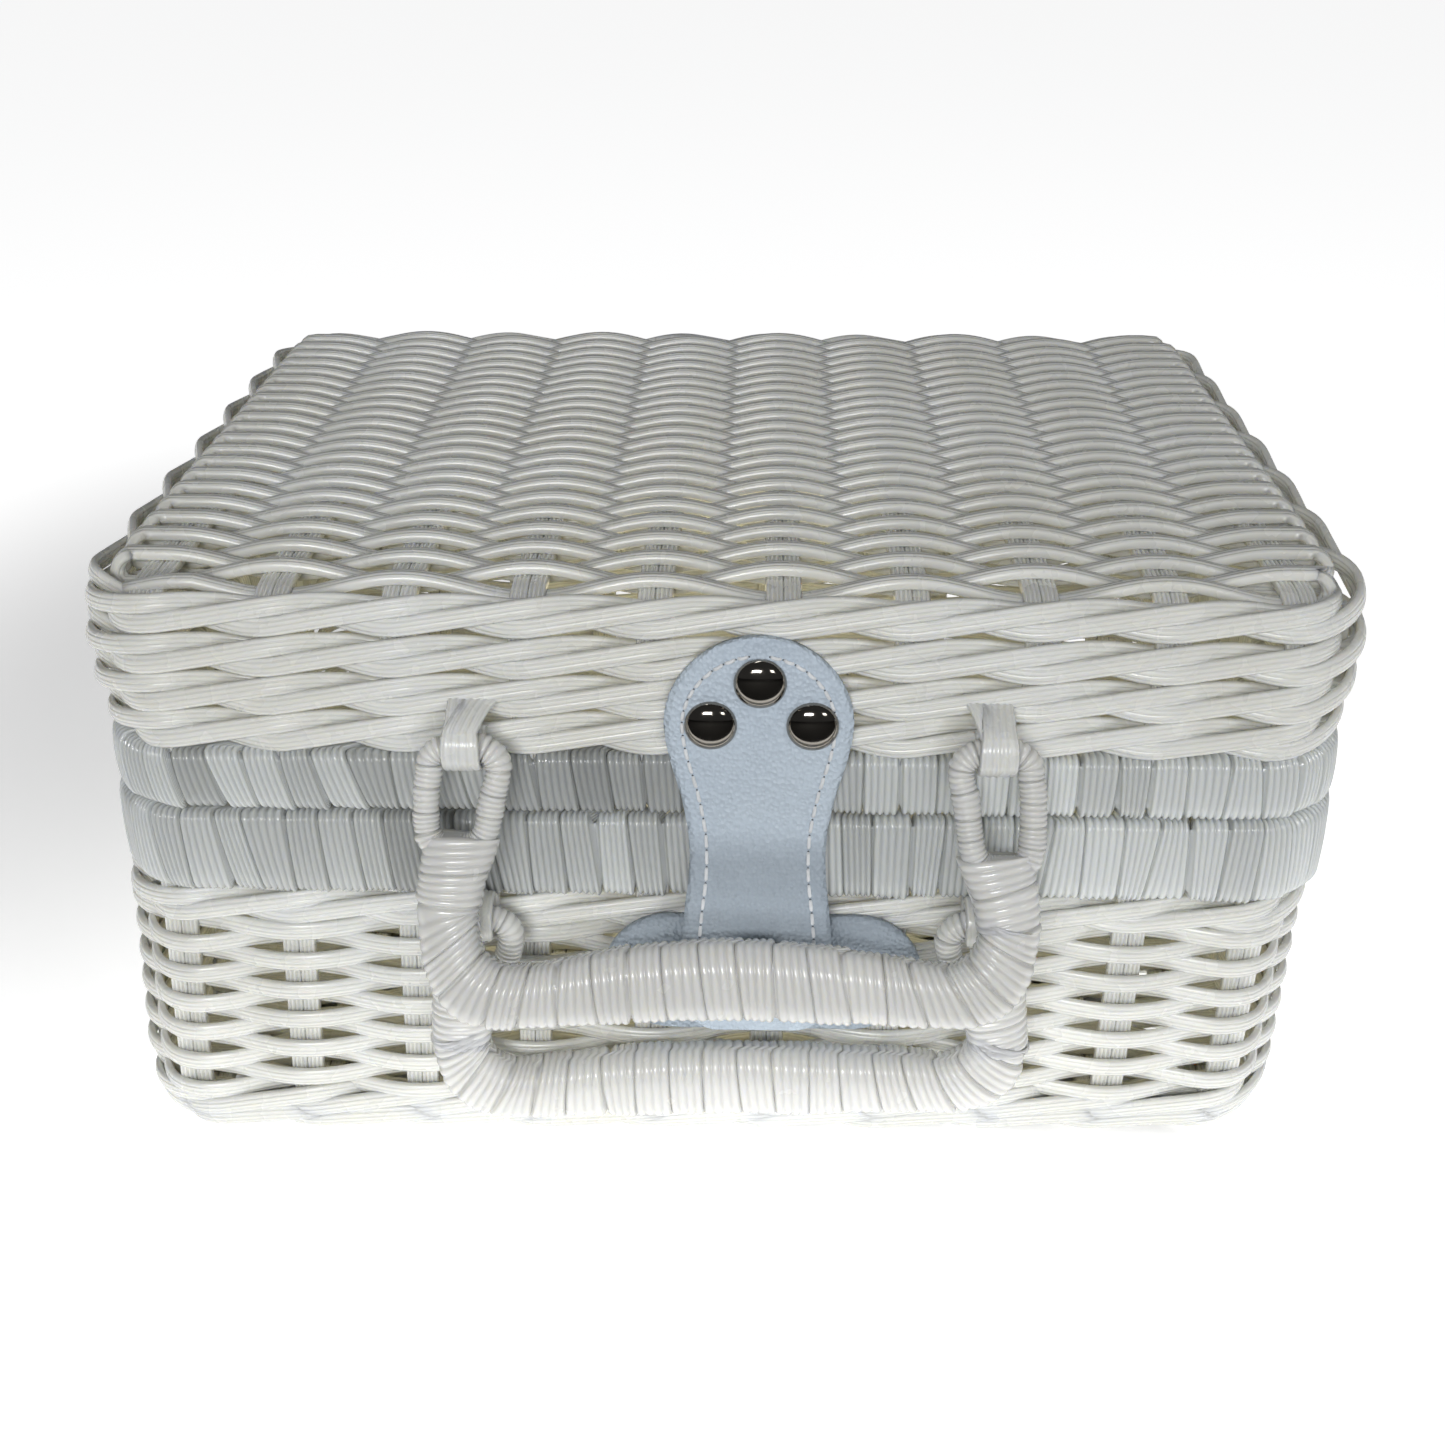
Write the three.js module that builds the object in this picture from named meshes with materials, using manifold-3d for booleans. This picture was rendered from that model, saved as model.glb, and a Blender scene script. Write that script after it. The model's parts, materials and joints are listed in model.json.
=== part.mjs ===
// A storage trunk woven from plastic cane: a basket with a hinged lid, two wrapped carrying handles
// and a leather strap with a press stud. Millimetres, +Z up, front towards -Y, origin at the middle
// of the base's underside.
import * as THREE from "three";
import { mergeVertices } from "three/addons/utils/BufferGeometryUtils.js";
import Module from "manifold-3d";

const wasm = await Module();
wasm.setup();

// Overall size
const WIDTH = 300;
const DEPTH = 225;
const HEIGHT = 155;
const SEAM_Z = 96.3; // height of the parting line between basket and lid
const SEAM_GAP = 0.6;
const CORNER_RADIUS = 24;
const CORNER_STEPS = 6;
const CLEARANCE = 0.3; // between pieces that touch

// Woven walls
const WEAVE = 7;
const PANEL_INSET = 11.3; // from the overall outline to the edge of the base and the lid's top
const PANEL_THICKNESS = 6.5;
const BODY_INSET = 0.5; // basket wall, behind the overall outline
const BODY_EDGE_RADIUS = 8;
const LID_EDGE_RADIUS = 9;
const FLOOR_LIFT = 0.5;

// Wrapped rims and the wire hoops inside them
const RIM_INSET = 0;
const RIM_THICKNESS = 9;
const RIM_ROUND = 2;
const BODY_RIM_HEIGHT = 22.8;
const LID_RIM_HEIGHT = 16.4;
const WIRE_RADIUS = 2;
const WIRE_FROM_SEAM = 8;
const WIRE_SIDES = 8;

// Hinge bindings
const HINGE_X = 75;
const HINGE_WIDTH = 26;
const HINGE_THICKNESS = 1.5;
const HINGE_REACH = 14;

// Handles, drawn in their own plane with the pivot at height 0 and the grip below it
const HANDLE_X = 2.6; // both handles sit a little right of the middle
const HANDLE_HALF_WIDTH = 73;
const GRIP_THICKNESS = 12.5;
const GRIP_HALF_GAP = 50; // from the middle to the inner side of the arms where they meet the eyes
const GRIP_CORNER = 14;
const GRIP_END_HEIGHT = 16; // height of the bar at its ends
const GRIP_ARCH = 9; // how far the bar's upper edge is drawn up towards the middle
const GRIP_INNER_ROUND = 9;
const GRIP_BEVEL = 3;
const ARM_WIDTH = 15;
const ARM_TAPER = 1;
const ARM_SHOULDER = 13; // length over which an arm narrows below its eye
const EYE_X = 60.5;
const EYE_WIDTH = 23;
const EYE_OPENING_WIDTH = 10.5;
const EYE_OPENING_HEIGHT = 12;
const EYE_BAR = 6.6; // thickness of the eye's wrapped ring
const EYE_BEVEL = 1.6;
const EYE_BOTTOM = 19;
const CORE_WIRE = 4;
const CORE_ABOVE_EDGE = 8;
const CORE_BEND = 10;
const CORE_END_DROP = 4; // from the eyes' lower edge to the wire's ends
const LID_HANDLE = { y: -119.5, z: 119.7, length: 66, lean: 17.4 };
const BODY_HANDLE = { y: -118.5, z: 72, length: 57, lean: 3 };

// Strip loops that hold the handle eyes
const LOOP_WIDTH = 9;
const LOOP_INNER_RADIUS = 4.2;
const LOOP_OUTER_RADIUS = 6;
const LOOP_RISE = 2.5;
const LOOP_TAIL_ANGLE = 45;

// Strap, rivets, press stud and patch
const STRAP_X = 9.3;
const STRAP_THICKNESS = 2;
const STRAP_HINGE_Z = 104;
const STRAP_LOBE_RADIUS = 22;
const STRAP_LOBE_Z = 122.7;
const STRAP_WAIST_Z = 88.4;
const STRAP_WAIST = 32.4;
const STRAP_FOOT_Z = 66;
const STRAP_FOOT = 36.5;
const STRAP_TIP_Z = 39.7;
const STRAP_TIP_RADIUS = 10;
const FLAP_TILT = 4.2;
const RIVET_PLACES = { top: [0.2, 134], left: [-11.1, 123.2], right: [12.4, 123.2] };
const RIVET_RADIUS = 6.1;
const RIVET_HEIGHT = 3.4;
const RIVET_UNDERCUT = 0.4;
const DOME = [[1, 0.2], [0.82, 0.66], [0.45, 0.93]]; // shares of a head's radius and height
const SHANK_RADIUS = 1.5;
const SHANK_HOLE_RADIUS = 1.9;
const WASHER_RADIUS = 5;
const WASHER_THICKNESS = 1.2;
const STUD_Z = 55;
const STUD_CAP_RADIUS = 12;
const STUD_CAP_HEIGHT = 2.6;
const STUD_POST_RADIUS = 2.5;
const STUD_SOCKET_RADIUS = 9;
const STUD_SOCKET_HEIGHT = 1.1;
const PATCH = { x: 10.9, z: 52.5, width: 79, height: 34, thickness: 1.8 };
const PATCH_RIVET_OFFSET = 31;
const PATCH_RIVET_RADIUS = 4;
const PATCH_RIVET_HEIGHT = 1.2;
const ROUND_SEGMENTS = 16;
const SMALL_SEGMENTS = 12;
const CURVE_SEGMENTS = 6;
const MERGE_DISTANCE = 1e-4;

const radians = THREE.MathUtils.degToRad;
const FRONT_OF_BODY = -(DEPTH / 2 - BODY_INSET);
const FRONT_OF_LID = -DEPTH / 2;
const BODY_RIM_BOTTOM = SEAM_Z - SEAM_GAP / 2 - BODY_RIM_HEIGHT;
const LID_RIM_BOTTOM = SEAM_Z + SEAM_GAP / 2;
const LID_RIM_TOP = LID_RIM_BOTTOM + LID_RIM_HEIGHT;

// Materials
function material(color, roughness, metalness = 0) {
  return new THREE.MeshStandardMaterial({ color, roughness, metalness });
}
const IVORY_CANE = material(0xece8da, 0.38);
const COOL_STRIP = material(0xdde2e2, 0.32);
const PALE_LEATHER = material(0xd5dfe8, 0.6);
const NICKEL = material(0xb9bcc0, 0.18, 1);
const STEEL_WIRE = material(0x8e9093, 0.45, 1);

// Every piece is a named mesh
function piece(parent, name, geometry, finish) {
  const mesh = new THREE.Mesh(geometry, finish);
  mesh.name = name;
  parent.add(mesh);
  return mesh;
}

// Booleans
function solid(geometry) {
  const bare = new THREE.BufferGeometry();
  bare.setAttribute("position", geometry.getAttribute("position"));
  bare.setIndex(geometry.index);
  const merged = mergeVertices(bare, MERGE_DISTANCE);
  const mesh = new wasm.Mesh({
    numProp: 3,
    vertProperties: new Float32Array(merged.attributes.position.array),
    triVerts: new Uint32Array(merged.index.array),
  });
  return new wasm.Manifold(mesh);
}

function cut(geometry, cutters) {
  let result = solid(geometry);
  for (const cutter of cutters) result = result.subtract(solid(cutter));
  const mesh = result.getMesh();
  const made = new THREE.BufferGeometry();
  made.setAttribute("position", new THREE.BufferAttribute(mesh.vertProperties, 3));
  made.setIndex(new THREE.BufferAttribute(mesh.triVerts, 1));
  made.computeVertexNormals();
  return made;
}

// The trunk's outline in plan, set in from the overall size by inset, as a list of points
function planOutline(inset) {
  const halfX = WIDTH / 2 - inset;
  const halfY = DEPTH / 2 - inset;
  const radius = CORNER_RADIUS - inset;
  const points = [];
  for (let corner = 0; corner < 4; corner++) {
    const signX = corner === 0 || corner === 3 ? 1 : -1;
    const signY = corner < 2 ? 1 : -1;
    for (let step = 0; step <= CORNER_STEPS; step++) {
      const angle = ((corner + step / CORNER_STEPS) * Math.PI) / 2;
      points.push([
        signX * (halfX - radius) + radius * Math.cos(angle),
        signY * (halfY - radius) + radius * Math.sin(angle),
      ]);
    }
  }
  return points;
}

// A closed profile of [inset, z] points, carried once round the trunk's outline
function hoop(profile) {
  const positions = [];
  const index = [];
  for (const [inset, z] of profile) {
    for (const [x, y] of planOutline(inset)) positions.push(x, y, z);
  }
  const around = positions.length / 3 / profile.length;
  profile.forEach((_, row) => {
    const next = (row + 1) % profile.length;
    for (let i = 0; i < around; i++) {
      const j = (i + 1) % around;
      const [a, b] = [row * around + i, row * around + j];
      const [c, d] = [next * around + i, next * around + j];
      index.push(a, b, d, a, d, c);
    }
  });
  const geometry = new THREE.BufferGeometry();
  geometry.setAttribute("position", new THREE.Float32BufferAttribute(positions, 3));
  geometry.setIndex(index);
  geometry.computeVertexNormals();
  return geometry;
}

function quarterArc(centre, radius, fromAngle, toAngle, steps = 3) {
  const points = [];
  for (let step = 0; step <= steps; step++) {
    const angle = THREE.MathUtils.lerp(fromAngle, toAngle, step / steps);
    points.push([centre[0] + radius * Math.cos(angle), centre[1] + radius * Math.sin(angle)]);
  }
  return points;
}

function flatPanel(inset, thickness) {
  const outline = planOutline(inset).map(([x, y]) => new THREE.Vector2(x, y));
  return new THREE.ExtrudeGeometry(new THREE.Shape(outline), {
    depth: thickness,
    bevelEnabled: false,
  });
}

// A drawn outline pushed to a thickness, its faces at 0 and at the thickness
function plate(shape, thickness, curveSegments = CURVE_SEGMENTS) {
  return new THREE.ExtrudeGeometry(shape, { depth: thickness, bevelEnabled: false, curveSegments });
}

function turned(profile, segments) {
  const points = profile.map(([radius, height]) => new THREE.Vector2(radius, height));
  return new THREE.LatheGeometry(points, segments);
}

// A frame on the front of the trunk: local X to the right, local Y up, local Z out of the front
function frontFrame(parent, x, y, z, leanDegrees = 0) {
  const group = new THREE.Group();
  group.position.set(x, y, z);
  group.rotation.x = Math.PI / 2 - radians(leanDegrees);
  parent.add(group);
  return group;
}

// A round cutter through a front wall, in the trunk's own frame
function frontHole(x, z, wallFront) {
  const radius = SHANK_HOLE_RADIUS;
  const hole = new THREE.CylinderGeometry(radius, radius, 3 * WEAVE, SMALL_SEGMENTS);
  hole.translate(x, wallFront, z);
  return hole;
}

function rimProfile(bottom, top, wireZ) {
  const outer = RIM_INSET;
  const inner = RIM_INSET + RIM_THICKNESS;
  const middle = (outer + inner) / 2;
  const slotHalf = WIRE_RADIUS + CLEARANCE;
  return [
    [outer + RIM_ROUND, bottom],
    [outer, bottom + RIM_ROUND],
    [outer, top - RIM_ROUND],
    [outer + RIM_ROUND, top],
    [inner - RIM_ROUND, top],
    [inner, top - RIM_ROUND],
    [inner, wireZ + slotHalf],
    [middle - slotHalf, wireZ + slotHalf],
    [middle - slotHalf, wireZ - slotHalf],
    [inner, wireZ - slotHalf],
    [inner, bottom + RIM_ROUND],
    [inner - RIM_ROUND, bottom],
  ];
}

function wireProfile(wireZ) {
  const middle = RIM_INSET + RIM_THICKNESS / 2;
  const points = [];
  for (let side = 0; side < WIRE_SIDES; side++) {
    const angle = (-2 * Math.PI * side) / WIRE_SIDES;
    points.push([middle + WIRE_RADIUS * Math.cos(angle), wireZ + WIRE_RADIUS * Math.sin(angle)]);
  }
  return points;
}

function bodySideProfile() {
  const top = BODY_RIM_BOTTOM - CLEARANCE;
  const centre = [BODY_INSET + BODY_EDGE_RADIUS, FLOOR_LIFT + BODY_EDGE_RADIUS];
  const foot = PANEL_INSET - CLEARANCE;
  return [
    ...quarterArc(centre, BODY_EDGE_RADIUS, -Math.PI / 2, -Math.PI),
    [BODY_INSET, top],
    [BODY_INSET + WEAVE, top],
    [BODY_INSET + WEAVE, FLOOR_LIFT + BODY_EDGE_RADIUS],
    [foot, PANEL_THICKNESS],
    [foot, FLOOR_LIFT],
  ];
}

function lidSideProfile() {
  const bottom = LID_RIM_TOP + CLEARANCE;
  const top = HEIGHT - FLOOR_LIFT;
  const centre = [LID_EDGE_RADIUS, top - LID_EDGE_RADIUS];
  const shoulder = PANEL_INSET - CLEARANCE;
  return [
    [RIM_INSET, bottom],
    ...quarterArc(centre, LID_EDGE_RADIUS, Math.PI, Math.PI / 2),
    [shoulder, top],
    [shoulder, HEIGHT - PANEL_THICKNESS],
    [WEAVE, top - LID_EDGE_RADIUS],
    [WEAVE, bottom],
  ];
}

// Basket and lid shells
function addBody(parent) {
  piece(parent, "body_base_weave", flatPanel(PANEL_INSET, PANEL_THICKNESS), IVORY_CANE);
  const holes = [-1, 1].map((side) =>
    frontHole(PATCH.x + side * PATCH_RIVET_OFFSET, PATCH.z, FRONT_OF_BODY),
  );
  piece(parent, "body_side_weave", cut(hoop(bodySideProfile()), holes), IVORY_CANE);
  const wireZ = SEAM_Z - WIRE_FROM_SEAM;
  const rim = hoop(rimProfile(BODY_RIM_BOTTOM, BODY_RIM_BOTTOM + BODY_RIM_HEIGHT, wireZ));
  piece(parent, "body_rim_wrap", rim, COOL_STRIP);
  piece(parent, "body_rim_wire", hoop(wireProfile(wireZ)), STEEL_WIRE);
}

function addLid(parent) {
  const top = piece(parent, "lid_top_weave", flatPanel(PANEL_INSET, PANEL_THICKNESS), IVORY_CANE);
  top.position.z = HEIGHT - PANEL_THICKNESS;
  const holes = Object.values(RIVET_PLACES).map(([x, z]) =>
    frontHole(STRAP_X + x, z, FRONT_OF_LID),
  );
  piece(parent, "lid_side_weave", cut(hoop(lidSideProfile()), holes), IVORY_CANE);
  const wireZ = SEAM_Z + WIRE_FROM_SEAM;
  const rim = hoop(rimProfile(LID_RIM_BOTTOM, LID_RIM_TOP, wireZ));
  piece(parent, "lid_rim_wrap", rim, COOL_STRIP);
  piece(parent, "lid_rim_wire", hoop(wireProfile(wireZ)), STEEL_WIRE);
}

// The hinge axis lies on the bindings' outer faces at the parting line
function addHingeBindings(parent) {
  for (const [side, sign] of [["left", -1], ["right", 1]]) {
    for (const [part, up] of [["lower", -1], ["upper", 1]]) {
      const leaf = new THREE.BoxGeometry(HINGE_WIDTH, HINGE_THICKNESS, HINGE_REACH);
      const mesh = piece(parent, `hinge_binding_${side}_${part}`, leaf, COOL_STRIP);
      mesh.position.set(
        sign * HINGE_X,
        DEPTH / 2 - RIM_INSET + CLEARANCE + HINGE_THICKNESS / 2,
        SEAM_Z + up * (SEAM_GAP / 2 + HINGE_REACH / 2),
      );
    }
  }
}

// Handles
function gripOutline(length) {
  const outer = HANDLE_HALF_WIDTH;
  const inner = outer - ARM_WIDTH;
  const top = -EYE_BOTTOM - CLEARANCE;
  const barTop = -length + GRIP_END_HEIGHT;
  const shape = new THREE.Shape();
  shape.moveTo(-outer + ARM_TAPER, top);
  shape.lineTo(-outer, -length + GRIP_CORNER);
  shape.quadraticCurveTo(-outer, -length, -outer + GRIP_CORNER, -length);
  shape.lineTo(outer - GRIP_CORNER, -length);
  shape.quadraticCurveTo(outer, -length, outer, -length + GRIP_CORNER);
  shape.lineTo(outer - ARM_TAPER, top);
  shape.lineTo(GRIP_HALF_GAP, top);
  shape.lineTo(inner, top - ARM_SHOULDER);
  shape.lineTo(inner, barTop + GRIP_INNER_ROUND);
  shape.quadraticCurveTo(inner, barTop, inner - GRIP_INNER_ROUND, barTop);
  shape.quadraticCurveTo(0, barTop + GRIP_ARCH, -inner + GRIP_INNER_ROUND, barTop);
  shape.quadraticCurveTo(-inner, barTop, -inner, barTop + GRIP_INNER_ROUND);
  shape.lineTo(-inner, top - ARM_SHOULDER);
  shape.lineTo(-GRIP_HALF_GAP, top);
  shape.closePath();
  return shape;
}

// The bent wire inside a grip: a narrow U that follows the arms and the bar
function coreOutline(length, halfWidth) {
  const outer = HANDLE_HALF_WIDTH - CORE_ABOVE_EDGE + halfWidth;
  const inner = outer - 2 * halfWidth;
  const bottom = -length + CORE_ABOVE_EDGE - halfWidth;
  const innerBottom = bottom + 2 * halfWidth;
  const innerBend = CORE_BEND - 2 * halfWidth;
  const top = -EYE_BOTTOM - CORE_END_DROP;
  const shape = new THREE.Shape();
  shape.moveTo(-outer, top);
  shape.lineTo(-outer, bottom + CORE_BEND);
  shape.lineTo(-outer + CORE_BEND, bottom);
  shape.lineTo(outer - CORE_BEND, bottom);
  shape.lineTo(outer, bottom + CORE_BEND);
  shape.lineTo(outer, top);
  shape.lineTo(inner, top);
  shape.lineTo(inner, bottom + CORE_BEND);
  shape.lineTo(inner - innerBend, innerBottom);
  shape.lineTo(-inner + innerBend, innerBottom);
  shape.lineTo(-inner, bottom + CORE_BEND);
  shape.lineTo(-inner, top);
  shape.closePath();
  return shape;
}

function rectangle(Type, left, bottom, right, top) {
  const path = new Type();
  path.moveTo(left, bottom);
  path.lineTo(right, bottom);
  path.lineTo(right, top);
  path.lineTo(left, top);
  path.closePath();
  return path;
}

function eyeGeometry() {
  const top = EYE_BAR / 2;
  const openingTop = -EYE_BAR / 2;
  const halfWidth = EYE_WIDTH / 2;
  const halfOpening = EYE_OPENING_WIDTH / 2;
  const shape = rectangle(THREE.Shape, -halfWidth, -EYE_BOTTOM, halfWidth, top);
  const openingBottom = openingTop - EYE_OPENING_HEIGHT;
  shape.holes.push(rectangle(THREE.Path, -halfOpening, openingBottom, halfOpening, openingTop));
  const geometry = new THREE.ExtrudeGeometry(shape, {
    depth: EYE_BAR - 2 * EYE_BEVEL,
    bevelThickness: EYE_BEVEL,
    bevelSize: EYE_BEVEL,
    bevelOffset: -EYE_BEVEL,
    bevelSegments: 1,
  });
  geometry.translate(0, 0, -EYE_BAR / 2 + EYE_BEVEL);
  return geometry;
}

function gripGeometry(length) {
  const grip = new THREE.ExtrudeGeometry(gripOutline(length), {
    depth: GRIP_THICKNESS - 2 * GRIP_BEVEL,
    bevelThickness: GRIP_BEVEL,
    bevelSize: GRIP_BEVEL,
    bevelOffset: -GRIP_BEVEL,
    bevelSegments: 1,
    curveSegments: CURVE_SEGMENTS,
  });
  grip.translate(0, 0, -GRIP_THICKNESS / 2 + GRIP_BEVEL);
  const channel = plate(coreOutline(length, CORE_WIRE / 2 + CLEARANCE), GRIP_THICKNESS);
  channel.translate(0, 0, -GRIP_THICKNESS + CORE_WIRE / 2 + CLEARANCE);
  return cut(grip, [channel]);
}

function addHandle(parent, name, place) {
  const frame = frontFrame(parent, HANDLE_X, place.y, place.z, place.lean);
  piece(frame, `${name}_grip_wrap`, gripGeometry(place.length), IVORY_CANE);
  const core = plate(coreOutline(place.length, CORE_WIRE / 2), CORE_WIRE);
  core.translate(0, 0, -CORE_WIRE / 2);
  piece(frame, `${name}_core_wire`, core, STEEL_WIRE);
  for (const [side, sign] of [["left", -1], ["right", 1]]) {
    const eye = piece(frame, `${name}_eye_${side}`, eyeGeometry(), IVORY_CANE);
    eye.position.x = sign * EYE_X;
  }
}

// A strip that comes out of the wall, goes once round the eye's bar and closes on itself.
// Drawn from the side: first coordinate towards the wall, second upwards.
function loopOutline(reach) {
  const shape = new THREE.Shape();
  const tailThickness = LOOP_OUTER_RADIUS - LOOP_INNER_RADIUS;
  shape.moveTo(reach, LOOP_OUTER_RADIUS + LOOP_RISE);
  shape.lineTo(0, LOOP_OUTER_RADIUS);
  const tailAngle = 2 * Math.PI + radians(LOOP_TAIL_ANGLE);
  shape.absarc(0, 0, LOOP_OUTER_RADIUS, Math.PI / 2, tailAngle, false);
  shape.lineTo(reach, LOOP_OUTER_RADIUS + LOOP_RISE - tailThickness);
  shape.closePath();
  const hole = new THREE.Path();
  hole.absarc(0, 0, LOOP_INNER_RADIUS, 0, 2 * Math.PI, true);
  shape.holes.push(hole);
  return shape;
}

// up is 1 where the strip comes out above the pivot, and -1 where it comes out below
function addLoops(parent, name, place, wallFront, up) {
  const reach = wallFront - place.y - CLEARANCE;
  for (const [side, sign] of [["left", -1], ["right", 1]]) {
    const loop = plate(loopOutline(reach), LOOP_WIDTH, SMALL_SEGMENTS);
    loop.translate(0, 0, -LOOP_WIDTH / 2);
    const mesh = piece(parent, `${name}_loop_${side}`, loop, IVORY_CANE);
    const axes = new THREE.Matrix4().makeBasis(
      new THREE.Vector3(0, 1, 0),
      new THREE.Vector3(0, 0, up),
      new THREE.Vector3(up, 0, 0),
    );
    mesh.quaternion.setFromRotationMatrix(axes);
    mesh.position.set(HANDLE_X + sign * EYE_X, place.y, place.z);
  }
}

// Strap, drawn from the front about the hinge line, with local Y = 0 at the hinge
function roundHole(x, y, radius) {
  const hole = new THREE.Path();
  hole.absarc(x, y, radius, 0, 2 * Math.PI, true);
  return hole;
}

function strapHalfWidth(z) {
  const waist = STRAP_WAIST / 2;
  if (z < STRAP_WAIST_Z) {
    const share = Math.min(1, (STRAP_WAIST_Z - z) / (STRAP_WAIST_Z - STRAP_FOOT_Z));
    return THREE.MathUtils.lerp(waist, STRAP_FOOT / 2, THREE.MathUtils.smoothstep(share, 0, 1));
  }
  const share = Math.min(1, (z - STRAP_WAIST_Z) / (STRAP_LOBE_Z - STRAP_WAIST_Z));
  return THREE.MathUtils.lerp(waist, STRAP_LOBE_RADIUS, THREE.MathUtils.smoothstep(share, 0, 1));
}

function evenLevels(from, to, count) {
  const levels = [];
  for (let step = 0; step <= count; step++) {
    levels.push(THREE.MathUtils.lerp(from, to, step / count));
  }
  return levels;
}

function strapUpperShape() {
  const shape = new THREE.Shape();
  const bottom = STRAP_HINGE_Z + CLEARANCE / 2;
  const levels = evenLevels(bottom, STRAP_LOBE_Z, 3);
  shape.moveTo(-strapHalfWidth(bottom), bottom - STRAP_HINGE_Z);
  for (const z of levels) shape.lineTo(strapHalfWidth(z), z - STRAP_HINGE_Z);
  shape.absarc(0, STRAP_LOBE_Z - STRAP_HINGE_Z, STRAP_LOBE_RADIUS, 0, Math.PI, false);
  for (const z of levels.slice(1, -1).reverse()) {
    shape.lineTo(-strapHalfWidth(z), z - STRAP_HINGE_Z);
  }
  shape.closePath();
  for (const [x, z] of Object.values(RIVET_PLACES)) {
    shape.holes.push(roundHole(x, z - STRAP_HINGE_Z, SHANK_HOLE_RADIUS));
  }
  return shape;
}

function strapFlapShape() {
  const shape = new THREE.Shape();
  const top = STRAP_HINGE_Z - CLEARANCE / 2;
  const levels = evenLevels(top, STRAP_FOOT_Z, 4);
  const radius = STRAP_TIP_RADIUS;
  const arcX = STRAP_FOOT / 2 - radius;
  const arcY = STRAP_TIP_Z - STRAP_HINGE_Z + radius;
  shape.moveTo(strapHalfWidth(top), top - STRAP_HINGE_Z);
  for (const z of levels) shape.lineTo(-strapHalfWidth(z), z - STRAP_HINGE_Z);
  shape.absarc(-arcX, arcY, radius, Math.PI, 1.5 * Math.PI, false);
  shape.absarc(arcX, arcY, radius, 1.5 * Math.PI, 2 * Math.PI, false);
  for (const z of levels.slice(1).reverse()) {
    shape.lineTo(strapHalfWidth(z), z - STRAP_HINGE_Z);
  }
  shape.closePath();
  shape.holes.push(roundHole(0, STUD_Z - STRAP_HINGE_Z, STUD_POST_RADIUS + CLEARANCE));
  return shape;
}

// A domed rivet: its head stands on height 0 and its shank goes back from it
function rivetProfile(headRadius, headHeight, shankRadius, shankLength) {
  return [
    [0, -shankLength],
    [shankRadius, -shankLength],
    [shankRadius, 0],
    [headRadius - RIVET_UNDERCUT, 0],
    ...DOME.map(([radius, height]) => [headRadius * radius, headHeight * height]),
    [0, headHeight],
  ];
}

function washerProfile(innerRadius, outerRadius, thickness) {
  return [
    [innerRadius, 0],
    [outerRadius, 0],
    [outerRadius, thickness],
    [innerRadius, thickness],
    [innerRadius, 0],
  ];
}

function addTurned(frame, name, profile, x, y, out, segments) {
  const mesh = piece(frame, name, turned(profile, segments), NICKEL);
  mesh.rotation.x = Math.PI / 2;
  mesh.position.set(x, y, out);
}

function addStrap(parent) {
  const back = FRONT_OF_LID - CLEARANCE;
  const upper = frontFrame(parent, STRAP_X, back, STRAP_HINGE_Z);
  piece(upper, "strap_upper", plate(strapUpperShape(), STRAP_THICKNESS), PALE_LEATHER);
  const headBase = STRAP_THICKNESS + CLEARANCE;
  const washerBack = -CLEARANCE - WEAVE - CLEARANCE - WASHER_THICKNESS;
  for (const [name, [x, z]] of Object.entries(RIVET_PLACES)) {
    const y = z - STRAP_HINGE_Z;
    const shank = headBase - washerBack + CLEARANCE;
    const rivet = rivetProfile(RIVET_RADIUS, RIVET_HEIGHT, SHANK_RADIUS, shank);
    addTurned(upper, `strap_rivet_${name}`, rivet, x, y, headBase, ROUND_SEGMENTS);
    const washer = washerProfile(SHANK_HOLE_RADIUS, WASHER_RADIUS, WASHER_THICKNESS);
    addTurned(upper, `strap_washer_${name}`, washer, x, y, washerBack, SMALL_SEGMENTS);
  }
  const flap = frontFrame(parent, STRAP_X, back - STRAP_THICKNESS / 2, STRAP_HINGE_Z, FLAP_TILT);
  const leaf = plate(strapFlapShape(), STRAP_THICKNESS);
  leaf.translate(0, 0, -STRAP_THICKNESS / 2);
  piece(flap, "strap_flap", leaf, PALE_LEATHER);
  const post = STRAP_THICKNESS + CLEARANCE;
  const cap = rivetProfile(STUD_CAP_RADIUS, STUD_CAP_HEIGHT, STUD_POST_RADIUS, post);
  const capBase = STRAP_THICKNESS / 2 + CLEARANCE;
  addTurned(flap, "press_stud_cap", cap, 0, STUD_Z - STRAP_HINGE_Z, capBase, ROUND_SEGMENTS);
}

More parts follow.
